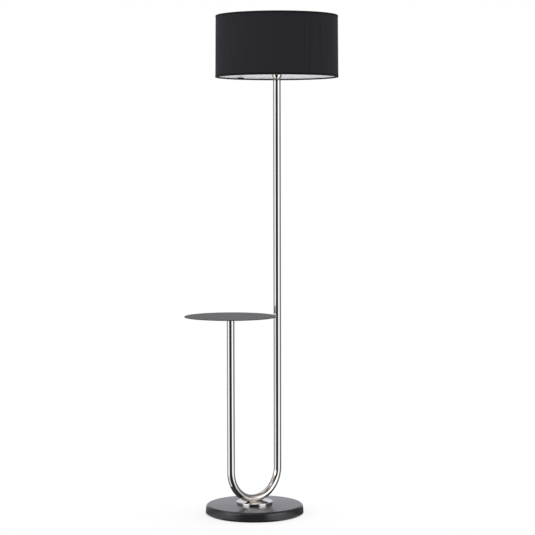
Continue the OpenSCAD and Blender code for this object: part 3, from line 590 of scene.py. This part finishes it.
# The finish of each material slot in the record
finishes = {
    "bright_tube": polishedNickel("polishedNickel", (0.61, 0.6, 0.59), (0.68, 0.67, 0.66), 0.05),
    "cover_black": powderCoat("baseCoat", (0.014, 0.014, 0.018), (0.021, 0.021, 0.026), 0.22,
                              gloss=(0.95, 0.95, 1.0)),
    "table_black": powderCoat("tableCoat", (0.02, 0.02, 0.022), (0.027, 0.027, 0.03), 0.45,
                              specular=0.3),
    "white_wire": powderCoat("wireCoat", (0.66, 0.66, 0.65), (0.74, 0.74, 0.73), 0.42, 2400.0),
    "shade_cloth": shadeCloth("drumCloth", (0.0168, 0.0158, 0.0192), (0.0238, 0.0226, 0.027)),
    "shade_edge": shadeCloth("edgeCloth", (0.006, 0.006, 0.0065), (0.015, 0.0145, 0.016)),
    "shade_film": liningFilm("liningFilm", (0.84, 0.84, 0.88), (0.91, 0.91, 0.94), 0.42),
    "black_plastic": moulded("blackPlastic", (0.014, 0.014, 0.015), (0.022, 0.022, 0.024), 0.42),
    "black_rubber": moulded("rubber", (0.012, 0.012, 0.013), (0.02, 0.02, 0.021), 0.7, 1500.0),
    "lead_sheath": moulded("leadSheath", (0.014, 0.014, 0.016), (0.022, 0.022, 0.024), 0.5, 900.0),
    "core_sheath": moulded("coreSheath", (0.15, 0.055, 0.02), (0.2, 0.075, 0.03), 0.35, 900.0),
    "cam_plastic": moulded("camPlastic", (0.66, 0.6, 0.5), (0.74, 0.69, 0.6), 0.45),
    "zinc_steel": drawnMetal("zincSteel", (0.62, 0.62, 0.64), (0.5, 0.5, 0.52), 0.26),
    "brass": drawnMetal("brass", (0.74, 0.52, 0.22), (0.6, 0.4, 0.15), 0.22),
    "cap_nickel": drawnMetal("capNickel", (0.72, 0.71, 0.69), (0.6, 0.59, 0.57), 0.2),
    "iron": castMetal("castIron", (0.06, 0.058, 0.056), (0.13, 0.12, 0.11), 0.62),
    "foam": foamSheet("foamPad", (0.012, 0.012, 0.013), (0.035, 0.035, 0.037), 0.85),
    "opal_glass": coatedGlass("opalGlass", (0.78, 0.78, 0.76), (0.86, 0.86, 0.85), 0.24),
}
print("finishes made")


# Puts a piece on its body with its slot's finish, in place of the CAD nodes that it stands for
def fit(piece, slot, body, *replaced):
    piece.data.materials.clear()
    piece.data.materials.append(finishes[slot])
    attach(piece, body)
    if replaced:
        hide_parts(*replaced)
    return piece


# Base
base = {
    "rise": 0.0024,           # the flat middle stands this much above the shoulder
    "flat": 0.052,            # radius of the flat middle
    "blend": 0.9,             # rounding between the flat middle and the slope
    "shoulder": 0.008,        # rounding of the upper edge
    "foot": 0.004,            # rounding of the lower edge
    "draft": 0.0015,          # how far the wall leans in
    "sheet": 0.0012,
    "lip": 0.009,             # turned-in edge under the weight
    "cutEdge": 0.0003,        # rounding of the sheet's cut edges
    "studHole": 0.0053,
    "cordHole": 0.005,
    "cordCut": 0.01,          # length of the cutter for the cord's hole
    "bushBore": 0.0032,
    "bushFlange": 0.002,
    "bushInner": 0.0006,      # roundings of the bush: inside the base, at its neck and outside
    "bushNeck": 0.0004,
    "bushOuter": 0.0008,
    "steps": 256,
}


def makeBaseCover():
    box = measure("base_cover")
    lean = base["draft"] / (box["height"] - base["shoulder"] - base["foot"])
    low = box["radius"] + lean * base["foot"]
    high = box["radius"] - base["draft"] - lean * base["shoulder"]
    sheet, cut, hole = base["sheet"], base["cutEdge"], base["studHole"]
    run, fall = high - base["shoulder"] - base["flat"], base["shoulder"] + base["rise"]
    slope = math.atan2(fall, run) - math.asin(base["shoulder"] / math.hypot(run, fall))
    edge = box["high"] - (high - base["flat"]) * math.tan(slope)
    lip = low - base["foot"] - base["lip"]
    section = rounded([
        (hole, box["high"], cut), (base["flat"], box["high"], base["blend"]),
        (high, edge, base["shoulder"]), (low, box["low"], base["foot"]), (lip, box["low"], cut),
        (lip, box["low"] + sheet, cut), (low - sheet, box["low"] + sheet, base["foot"] - sheet),
        (high - sheet, edge - sheet, base["shoulder"] - sheet),
        (base["flat"], box["high"] - sheet, base["blend"]), (hole, box["high"] - sheet, cut)], steps=10)
    cover = turned("baseCover", section, steps=base["steps"])
    bush = measure("cord_bush")
    drilled(cover, (0, box["radius"], (bush["low"] + bush["high"]) / 2), (0, 1, 0),
            base["cordHole"], base["cordCut"])
    fit(cover, "cover_black", "stand", "base_cover")


def makeCordBush():
    low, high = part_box("cord_bush")
    flange, neck, bore = (high.x - low.x) / 2, base["cordHole"], base["bushBore"]
    width, length = base["bushFlange"], high.y - low.y
    inner, step, outer = base["bushInner"], base["bushNeck"], base["bushOuter"]
    section = rounded([
        (bore, 0, inner), (flange, 0, inner), (flange, width, step), (neck, width),
        (neck, length - width), (flange, length - width, step), (flange, length, outer),
        (bore, length, outer)], steps=5)
    bush = turned("cordBush", section, steps=72)
    bush.data.transform(Matrix.Translation((0, low.y, (low.z + high.z) / 2))
                        @ Matrix.Rotation(-math.pi / 2, 4, "X"))
    fit(bush, "black_rubber", "stand", "cord_bush")


makeBaseCover()
makeCordBush()
print("base made")


# Bright plate, bent tube and pole
tube = {
    "wall": 0.0012,
    "sides": 96,
    "bendSteps": 36,
    "bendShare": 0.9995,      # each quarter of the bend, of half the space between the legs
    "plateEdges": (0, 0.0004, 0.0016, 0.0004),      # roundings of its corners
    "plateHole": 0.007,
}


def makeFootPlate():
    box = measure("foot_plate")
    section = band(tube["plateHole"], box["radius"], box["low"], box["high"], tube["plateEdges"],
                   steps=8)
    fit(turned("footPlate", section, steps=256), "bright_tube", "stand", "foot_plate")


def makeBentTube():
    low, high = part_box("u_tube")
    radius = (high.y - low.y) / 2
    bend = (high.x - low.x) / 2 - radius
    bottom = low.z + radius
    corners = [(-bend, 0, measure("table_flange")["low"]), (-bend, 0, bottom), (bend, 0, bottom),
               (bend, 0, high.z)]
    piece = pipe("bentTube", corners, radius, tube["wall"], "bright_tube", bend * tube["bendShare"],
                 tube["bendSteps"], tube["sides"])
    fit(piece, "bright_tube", "stand", "u_tube")


def makeUpperPole():
    box = measure("upper_pole")
    ends = [(box["x"], 0, box["low"]), (box["x"], 0, box["high"])]
    piece = pipe("upperPole", ends, box["radius"], tube["wall"], "bright_tube",
                 sides=tube["sides"])
    fit(piece, "bright_tube", "stand", "upper_pole")


makeFootPlate()
makeBentTube()
makeUpperPole()
print("tubes made")


# Table
table = {
    "edges": (0, 0.0006, 0.0009, 0),      # roundings of the disc's corners, as band() takes them
    "flangeEdges": (0, 0.0006, 0.0001, 0),
    "flangeHole": 0.005,
    "nuts": 3,
    "nutAcross": 0.007,       # across flats
    "nutFace": 0.86,          # radius of a nut's flat face, as a share of its corners'
    "nutEdge": 0.0004,
    "studRadius": 0.002,
    "studEdges": (0, 0.0006, 0, 0),
}


def makeTable():
    disc, flange = measure("table_top"), measure("table_flange")
    section = band(0, disc["radius"], flange["high"], disc["high"], table["edges"])
    fit(turned("tableTop", section, disc["x"], steps=256), "table_black", "stand", "table_top")
    section = band(table["flangeHole"], flange["radius"], flange["low"], flange["high"],
                   table["flangeEdges"], steps=4)
    fit(turned("tableFlange", section, flange["x"]), "table_black", "stand", "table_flange")


# One nut on its welded stud, in place for the ring about the table's axis
def nutOnStud(circle, low, high, corner, studLow, studHigh):
    stem, face, edge = table["studRadius"], corner * table["nutFace"], table["nutEdge"]
    nut = turned("nutBlank", rounded([
        (stem, low), (face, low), (corner, low + edge), (corner, high - edge), (face, high),
        (stem, high)]), circle, steps=6, sharp=20)
    stud = turned("studEnd", band(0, stem, studLow, studHigh, table["studEdges"]), circle, steps=32)
    return nut, stud


def makeTableFixings():
    flange, top = measure("table_flange"), measure("table_top")
    low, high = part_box("table_nuts")
    corner = table["nutAcross"] / 2 / math.cos(math.pi / 6)
    circle = high.x - corner - flange["x"]
    nut, stud = nutOnStud(circle, low.z, high.z, corner, top["low"], flange["high"])
    for blank, name, replaced in ((nut, "tableNuts", ["table_nuts"]), (stud, "tableStuds", [])):
        ring = ringOf(name, blank, table["nuts"], "zinc_steel", sharp=20)
        fit(shifted(ring, flange["x"]), "zinc_steel", "stand", *replaced)


makeTable()
makeTableFixings()
print("table made")


# Lampholder: bright cup, sleeve thread, locking ring and switch knob
holder = {
    "cupWall": 0.001,
    "cupFlare": 0.012,        # height over which the cup widens
    "cupFlareSteps": 12,
    "cupBore": 0.005,
    "cupRim": 0.0005,         # roundings of the rim, outside and inside
    "cupRimInside": 0.0004,
    "cupHole": 0.0026,        # for the switch's shaft
    "cupCut": 0.012,
    "sleeve": 0.0164,
    "threadPitch": 0.003,
    "threadRidge": 0.00045,
    "threadEnd": 0.001,       # plain length at each end of the thread
    "ringBore": 0.01695,
    "ringEdges": (0.0003, 0.0006, 0.001, 0.0005),
    "ringRib": 0.0011,
    "ringRibs": 24,
    "ringRibLow": 0.0004,     # where its ribs end below and above
    "ringRibHigh": 0.0008,
    "knobBore": 0.002,
    "knobMouth": 0.0002,      # roundings of the knob: bore, foot and crown
    "knobFoot": 0.0006,
    "knobCrown": 0.0018,
    "knobRoof": 0.002,
    "knobRib": 0.0007,
    "knobRibs": 16,
    "knobRibLow": 0.0006,
    "knobRibHigh": 0.0016,
}


def makeCup():
    box = measure("socket_cup")
    wall, flare, steps = holder["cupWall"], holder["cupFlare"], holder["cupFlareSteps"]
    growth = box["radius"] - measure("upper_pole")["radius"]
    bend = (growth ** 2 + flare ** 2) / (2 * growth)

    # the flared part of the outside or of the inside, upwards from a floor
    def flared(reach, floor):
        first = -math.asin((flare - floor) / reach)
        angles = [first * (1 - k / steps) for k in range(steps + 1)]
        return [(box["radius"] - bend + reach * math.cos(angle),
                 box["low"] + flare + reach * math.sin(angle)) for angle in angles]

    section = rounded([(holder["cupBore"], box["low"])] + flared(bend, 0) + [
        (box["radius"], box["high"], holder["cupRim"]),
        (box["radius"] - wall, box["high"], holder["cupRimInside"])]
        + flared(bend - wall, wall)[::-1] + [(holder["cupBore"], box["low"] + wall)], 8)
    cup = turned("brightCup", section, box["x"])
    shaft = measure("switch_shaft")
    drilled(cup, (box["x"], -box["radius"], (shaft["low"] + shaft["high"]) / 2), (0, 1, 0),
            holder["cupHole"], holder["cupCut"])
    fit(cup, "bright_tube", "stand", "socket_cup")


def makeSleeveThread():
    body, end = measure("socket_body"), holder["threadEnd"]
    seat = measure("fitter_ring")["low"]
    ridge = windingRidge.grow("sleeveThread", "black_plastic", {
        "Radius": holder["sleeve"], "Pitch": holder["threadPitch"],
        "Turns": (body["high"] - seat - 2 * end) / holder["threadPitch"],
        "Low end": seat + end, "Ridge": holder["threadRidge"]})
    fit(shifted(ridge, body["x"]), "black_plastic", "stand")


# Upright round ribs standing on a grip's wall
def gripRing(name, count, radius, reach, low, high):
    blank = rod(name + "Blank", [(reach, 0, low), (reach, 0, high)], radius, "black_plastic",
                sides=12)
    return ringOf(name, blank, count, "black_plastic")


def makeLockRing():
    box, rib = measure("shade_lock_ring"), holder["ringRib"]
    outer = box["radius"] - rib * 0.5
    section = band(holder["ringBore"], outer, box["low"], box["high"], holder["ringEdges"],
                   steps=5)
    ring = turned("lockRing", section)
    ribs = gripRing("lockRingRibs", holder["ringRibs"], rib, outer - rib * 0.5,
                    box["low"] + holder["ringRibLow"], box["high"] - holder["ringRibHigh"])
    fit(shifted(ring, box["x"]), "black_plastic", "lock_ring", "shade_lock_ring")
    fit(shifted(ribs, box["x"]), "black_plastic", "lock_ring")


def makeKnob():
    low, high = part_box("switch_knob")
    radius, length, rib = (high.x - low.x) / 2, high.y - low.y, holder["knobRib"]
    body, bore, floor = radius - rib * 0.5, holder["knobBore"], length - holder["knobRoof"]
    section = rounded([
        (bore, 0, holder["knobMouth"]), (body, 0, holder["knobFoot"]),
        (body, length, holder["knobCrown"]), (0, length), (0, floor), (bore, floor)])
    knob = turned("switchKnob", section, steps=96)
    ribs = gripRing("switchKnobRibs", holder["knobRibs"], rib, body - rib * 0.4,
                    holder["knobRibLow"], length - holder["knobRibHigh"])
    toSwitch = (Matrix.Translation(((low.x + high.x) / 2, high.y, (low.z + high.z) / 2))
                @ Matrix.Rotation(math.pi / 2, 4, "X"))
    for piece, replaced in ((knob, ["switch_knob"]), (ribs, [])):
        piece.data.transform(toSwitch)
        fit(piece, "black_plastic", "switch", *replaced)


makeCup()
makeSleeveThread()
makeLockRing()
makeKnob()
print("lampholder made")


# Bulb
bulb = {
    "neck": 0.0145,
    "glass": 0.001,
    "glassSteps": 32,
    "capRadius": 0.0132,
    "capWall": 0.0006,
    "capHole": 0.0083,        # for the insulator
    "capEdges": (0.0002, 0.0006, 0.001, 0.0006, 0.0003, 0.0002),   # up its outside
    "capFoot": 0.0101,
    "capTaper": 0.003,        # heights of the cap's foot, throat and collar
    "capThroat": 0.002,
    "capCollar": 0.001,
    "capPlain": 0.0075,       # height without thread
    "threadStart": 0.0038,
    "capThread": 0.0036,
    "capRidge": 0.0006,
    "ridgeSink": 0.0001,
}


def makeGlass():
    box, wall, neck = measure("bulb_glass"), bulb["glass"], bulb["neck"]
    radius, steps = box["radius"], bulb["glassSteps"]
    centre = box["high"] - radius
    drop = box["low"] - centre
    meet = math.atan2(drop, neck) + math.acos(radius / math.hypot(neck, drop))
    outer = [(neck, box["low"])]
    for k in range(steps + 1):
        angle = meet + (math.pi / 2 - meet) * k / steps
        outer.append((radius * math.cos(angle), centre + radius * math.sin(angle)))
    outer[-1] = (0.0, box["high"])
    inner = []
    for r, z in outer[::-1]:
        inset = wall * r / radius if z > box["low"] else wall
        inner.append((r - inset, z - (wall if z > centre else 0)))
    inner[0] = (0.0, box["high"] - wall)
    piece = turned("bulbGlass", outer + inner, box["x"], steps=96, sharp=60)
    fit(piece, "opal_glass", "bulb", "bulb_glass")


def makeCap():
    box, wall, neck, hole, foot = (measure("bulb_cap"), bulb["capWall"], bulb["neck"],
                                   bulb["capHole"], bulb["capFoot"])
    body = bulb["capRadius"] - bulb["capRidge"]
    low, taper = box["low"], box["low"] + bulb["capTaper"]
    high, throat, collar = box["high"], box["high"] - bulb["capThroat"], bulb["capCollar"]
    outside = [(hole, low), (foot, low), (body, taper), (body, throat), (neck, high - collar),
               (neck, high)]
    inside = [(neck - collar, high), (body - wall, throat), (body - wall, taper),
              (foot - wall, low + wall), (hole, low + wall)]
    corners = [(*corner, edge) for corner, edge in zip(outside, bulb["capEdges"])]
    shell = turned("bulbCap", rounded(corners + inside, steps=5), box["x"], steps=96)
    fit(shell, "cap_nickel", "bulb", "bulb_cap")
    ridge = windingRidge.grow("bulbCapThread", "cap_nickel", {
        "Radius": body - bulb["ridgeSink"], "Pitch": bulb["capThread"],
        "Turns": (box["height"] - bulb["capPlain"]) / bulb["capThread"],
        "Low end": low + bulb["threadStart"], "Ridge": bulb["capRidge"] + bulb["ridgeSink"]})
    fit(shifted(ridge, box["x"]), "cap_nickel", "bulb")


makeGlass()
makeCap()
print("bulb made")


# Shade
shade = {
    "cloth": 0.0008,
    "film": 0.0006,
    "lap": 0.012,             # width of the glued lap seam
    "lapAngle": math.radians(90.3),
    "clothLap": 0.6,          # how far the lap steps out or in, in thicknesses
    "filmLap": -1.1,
    "columns": 361,
    "rows": 25,
    "hem": 0.006,             # height of the rolled edge on the outside
    "hemThick": 0.0005,
    "hemInside": 0.0042,      # height of the rolled edge on the inside
    "roll": 0.0022,           # radius of the roll round the wire
    "hemFoot": 0.0014,        # roundings of the rolled edge: outside, inside, bed and lips
    "hemFold": 0.0016,
    "hemBed": 0.0012,
    "hemLip": 0.0002,
    "tabWidth": 0.036,        # folded end of each rolled edge, inside at the seam
    "tabHeight": 0.0068,
    "tabTaper": 0.45,
    "fitterBore": 0.017,
    "fitterEdges": (0.0004, 0.0006, 0.0006, 0.0004),
    "arms": 3,
    "armRadius": 0.0013,
    "armInset": 0.0015,
    "armBend": 0.006,
    "armLift": 0.02,
    "weld": 0.0005,
}


# The drum's outer radius at a height, from its two rolled edges
def drumRadius(z):
    low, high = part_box("shade_bottom_hem"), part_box("shade_top_hem")
    bottom, top = (low[1].y - low[0].y) / 2, (high[1].y - high[0].y) / 2
    return bottom + (top - bottom) * (z - low[0].z) / (high[1].z - low[0].z)


def drumSheet(name, inset, thick, lap, slot, node):
    box = measure(node)
    wall = drumWall.grow(name, slot, {
        "Bottom radius": drumRadius(box["low"]) - inset,
        "Top radius": drumRadius(box["high"]) - inset,
        "Low edge": box["low"], "High edge": box["high"], "Lap": shade["lap"],
        "Lap angle": shade["lapAngle"], "Lap step": thick * lap, "Columns": shade["columns"],
        "Rows": shade["rows"]}, 60)
    shifted(wall, measure("shade_cover")["x"])
    modify(wall, "SOLIDIFY", thickness=thick, offset=-1)
    settle(wall, 60)
    return fit(wall, slot, "shade", node)


# Depth of a rolled edge, from its outside to its inside
def hemDepth():
    return 2 * shade["hemThick"] + shade["cloth"] + shade["film"] + 2 * shade["roll"]


# A rolled edge: up the outside over the cloth, round the wire, and up inside the lining
def makeHem(name, node, edge, direction):
    thick, lip = shade["hemThick"], shade["hemLip"]
    outer, tip = drumRadius(edge), edge + direction * shade["hem"]
    back = outer - hemDepth()
    reach = drumRadius(tip)
    inside, bed = edge + direction * shade["hemInside"], edge + direction * thick
    section = rounded([
        (outer, edge, shade["hemFoot"]), (reach, tip, lip), (reach - thick, tip, lip),
        (outer - thick, bed), (back + thick, bed, shade["hemBed"]), (back + thick, inside, lip),
        (back, inside, lip), (back, edge, shade["hemFold"])], steps=7)
    hem = turned(name, section, measure("shade_cover")["x"], steps=288)
    return fit(hem, "shade_edge", "shade", node)


# The folded end of a rolled edge, on the inside over the lining's seam
def makeTab(name, edge, direction, columns=16, rows=5):
    x, thick = measure("shade_cover")["x"], shade["hemThick"]
    points, faces, corners = [], [], []
    for j in range(rows + 1):
        up = j / rows
        z = edge + direction * (thick + up * (shade["tabHeight"] - thick))
        reach = drumRadius(z) - hemDepth() + thick / 2
        for i in range(columns + 1):
            across = (i / columns - 0.5) * shade["tabWidth"] * (1 - shade["tabTaper"] * up ** 2)
            angle = shade["lapAngle"] + across / reach
            points.append((x + reach * math.cos(angle), reach * math.sin(angle), z))
    for j in range(rows):
        for i in range(columns):
            first = j * (columns + 1) + i
            face = [first, first + columns + 1, first + columns + 2, first + 1]
            faces.append(face if direction > 0 else face[::-1])
            corners.append([(points[k][0], points[k][2]) for k in faces[-1]])
    tab = fromFaces(name, points, faces, corners)
    modify(tab, "SOLIDIFY", thickness=thick, offset=1)
    settle(tab)
    return fit(tab, "shade_edge", "shade")


def makeShade():
    low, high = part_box("shade_bottom_hem")[0].z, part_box("shade_top_hem")[1].z
    cloth = drumSheet("shadeCloth", shade["hemThick"], shade["cloth"], shade["clothLap"],
                      "shade_cloth", "shade_cover")
    film = drumSheet("shadeFilm", shade["hemThick"] + shade["cloth"], shade["film"],
                     shade["filmLap"], "shade_film", "shade_lining")
    trims = [makeHem("shadeBottomHem", "shade_bottom_hem", low, 1),
             makeHem("shadeTopHem", "shade_top_hem", high, -1),
             makeTab("shadeBottomTab", low, 1), makeTab("shadeTopTab", high, -1)]
    fullTurn * drumRadius(low) + shade["lap"]


# One arm in the XZ plane about the shade's axis: up along the wall, a bend, then in to the ring
def armBlank():
    ring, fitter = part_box("shade_bottom_ring"), measure("fitter_ring")
    wall = (ring[1].y - ring[0].y) / 2 - shade["armInset"]
    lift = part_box("shade_bottom_hem")[0].z + shade["armLift"]
    corners = [(wall, 0, ring[1].z - shade["weld"]), (wall, 0, lift),
               (fitter["radius"] - shade["weld"], 0, (fitter["low"] + fitter["high"]) / 2)]
    return rod("armBlank", corners, shade["armRadius"], "white_wire", shade["armBend"],
               steps=12, sides=20)


def makeCarrier():
    fitter = measure("fitter_ring")
    section = band(shade["fitterBore"], fitter["radius"], fitter["low"], fitter["high"],
                   shade["fitterEdges"], steps=5)
    ring = turned("fitterRing", section, fitter["x"], steps=128)
    fit(ring, "white_wire", "shade", "fitter_ring")
    arms = ringOf("shadeArms", armBlank(), shade["arms"], "white_wire", math.pi / 2)
    fit(shifted(arms, fitter["x"]), "white_wire", "shade", "shade_arms")


makeShade()
makeCarrier()
print("shade made")


# CAD pieces that stay as they are
def dressNodes():
    for part in frame["record"]["subparts"]:
        node = nodes[part["node"]]
        node.data.materials.clear()
        node.data.materials.append(finishes[part["material_slot"]])


dressNodes()
print("nodes dressed")


# Studio: white floor and background to the camera and to glass. Bright metal and gloss see the
# room round it: two bright sides, a dark part behind the camera, grey flags, a pale wall behind the
# object, low banks of light, a warm haze, and a dim ceiling with a skylight. Its angles are degrees
# to the right of the camera's side, and its heights and distances are sines.
studio = {
    "floorReach": 30.0,
    "floorColour": (0.9, 0.9, 0.9),
    "ambient": 0.74,
    "sides": 1.6,
    "dark": (-43.0, 29.0),
    "darkLevel": 0.04,
    "softEdge": 7.0,
    "flags": ((-1, 80.0, 0.42), (1, 77.0, 0.2)),      # side, first angle and level
    "flagTo": 152.0,
    "backLevel": 0.9,
    "backTint": (0.92, 0.93, 1.0),
    "ceilingLevel": 0.26,
    "ceilingTint": (1.0, 0.84, 0.76),
    "ceilingRise": (0.3, 0.6),
    "skylightLevel": 1.1,
    "skylightRise": (0.68, 0.8),
    "skylightSide": (-0.1, 0.2),
    "hazeLevel": 1.2,
    "hazeRise": (0.3, 0.5),
    "hazeFall": (0.65, 0.85),
    "hazeBack": (-0.15, 0.0),
    "hazeFront": (0.3, 0.42),
    "bankLevel": 4.0,
    "bankRise": (0.03, 0.13),
    "bankFall": (0.31, 0.41),
    "bankSides": (0.48, 0.63),
    "bankFront": (0.22, 0.38),
    "paintedShadeLevel": 0.57,        # painted shade: how much of the room's light the floor close by shows in gloss, a shadow painted round the base
    "paintedShadeFade": (0.25, 0.7),
    "shadowShare": 0.25,      # how much of its shadow the floor shows to the camera
    "shadowFade": (0.3, 0.75),
    "lampAim": (0, 0, 0.8),
    "lamps": (("overhead", (0.1, 0.2, 4.4), 3.0, 66),        # place, diameter and power
              ("leftSoft", (-4.2, 0.6, 2.0), 2.2, 45),
              ("rightSoft", (3.4, -2.6, 2.0), 2.2, 30)),
}


# How far a point (x, y) lies on the camera's side and to its right
def seenFromCamera(x, y):
    right = lookDirection().cross(Vector((0, 0, 1))).normalized()
    away = Vector((0, 0, 1)).cross(right)
    return x * -away.x + y * -away.y, x * right.x + y * right.y


# What gloss sees at a point (x, y) of the room, by its angle from the camera's side, and how
# much of that is the wall behind the object
def roomLevel(x, y):
    ahead, right = seenFromCamera(x, y)
    angle = ahead.math("ARCTAN2", right, ahead) * math.degrees(1)
    soft, (first, last) = studio["softEdge"], studio["dark"]
    dark = angle.ramp(first - soft, first + soft) * angle.fall(last - soft, last + soft)
    level = dark * (studio["darkLevel"] - studio["sides"]) + studio["sides"]
    backs = []
    for side, first, flagLevel in studio["flags"]:
        bearing = angle * side
        back = bearing.ramp(studio["flagTo"] - soft, studio["flagTo"] + soft)
        flag = bearing.ramp(first - soft, first + soft) * (1 - back)
        level = level.towards(flag, flagLevel)
        backs.append(back)
    behind = backs[0] + backs[1]
    return level.towards(behind, studio["backLevel"]), behind


def makeWorld():
    world = bpy.data.worlds.new("studio")
    bpy.context.scene.world = world
    world.use_nodes = True
    sky = Graph(world.node_tree)
    world.node_tree.nodes.clear()
    x, y, z = sky.split(sky.add("ShaderNodeTexCoord", output="Generated"))
    ahead, right = seenFromCamera(x, y)
    ceiling = z.ramp(*studio["ceilingRise"])
    skylight = z.ramp(*studio["skylightRise"]) * right.fall(*studio["skylightSide"])
    haze = (z.ramp(*studio["hazeRise"]) * z.fall(*studio["hazeFall"])
            * ahead.ramp(*studio["hazeBack"]) * ahead.fall(*studio["hazeFront"]))
    banks = (z.ramp(*studio["bankRise"]) * z.fall(*studio["bankFall"])
             * right.single("ABSOLUTE").ramp(*studio["bankSides"]) * ahead.ramp(*studio["bankFront"]))
    room, behind = roomLevel(x, y)
    for share, level in ((ceiling, "ceilingLevel"), (skylight, "skylightLevel"),
                         (haze, "hazeLevel"), (banks, "bankLevel")):
        room = room.towards(share, studio[level])
    rays = sky.add("ShaderNodeLightPath", output="Is Camera Ray")
    glossy = rays.other("Is Glossy Ray")
    shown = rays.math("MINIMUM", rays + rays.other("Is Transmission Ray"), 1.0)
    plain = shown + (1 - shown) * studio["ambient"]
    warm = ceiling * (1 - banks) * (1 - skylight) * glossy
    tint = sky.mixColours(behind * glossy, (1, 1, 1), studio["backTint"])
    tint = sky.mixColours(warm, tint, studio["ceilingTint"])
    glow = sky.add("ShaderNodeBackground", {"Color": tint, "Strength": plain.towards(glossy, room)})
    sky.add("ShaderNodeOutputWorld", {"Surface": glow})


def makeFloor():
    reach = studio["floorReach"]
    corners = [(x * reach, y * reach, 0) for x, y in ((-1, -1), (1, -1), (1, 1), (-1, 1))]
    mesh = bpy.data.meshes.new("floor")
    mesh.from_pydata(corners, [], [(0, 1, 2, 3)])
    paint = Finish("floorPaint", colour=studio["floorColour"], roughness=0.9, specular=0.0)
    x, y, _ = paint.split(paint.place())
    rays = paint.add("ShaderNodeLightPath", output="Is Camera Ray")
    glossy, through = rays.other("Is Glossy Ray"), rays.other("Is Transmission Ray")
    away = (x * x + y * y).single("SQRT")
    plain = away.ramp(*studio["shadowFade"], 1 - studio["shadowShare"], 1.0)
    # painted shadow: close to the base the floor is darker in gloss, standing in for the lamp's shadow round it
    near = away.ramp(*studio["paintedShadeFade"], studio["paintedShadeLevel"], 1.0)
    white = paint.add("ShaderNodeEmission", {
        "Color": 1 - glossy + glossy * near * roomLevel(x, y)[0]})
    share = rays.math("MINIMUM", rays * plain + glossy + through, 1.0)
    painted = paint.add("ShaderNodeMixShader", {
        0: share, 1: Port(paint, paint.shader.outputs[0]), 2: white})
    paint.feed(paint.sheet.inputs["Surface"], painted)
    mesh.materials.append(paint.material)
    floor = placed("floor", mesh)


def makeLamp(name, place, size, power):
    data = bpy.data.lights.new(name, "AREA")
    data.shape = "DISK"
    data.size = size
    data.energy = power
    lamp = placed(name, data)
    aim = (Vector(studio["lampAim"]) - Vector(place)).to_track_quat("-Z", "Y")
    lamp.matrix_world = Matrix.Translation(place) @ aim.to_matrix().to_4x4()
    lamp.visible_camera = False
    lamp.visible_glossy = False


makeWorld()
makeFloor()
for lamp in studio["lamps"]:
    makeLamp(*lamp)
bpy.context.scene.view_settings.view_transform = "Standard"
print("studio made")
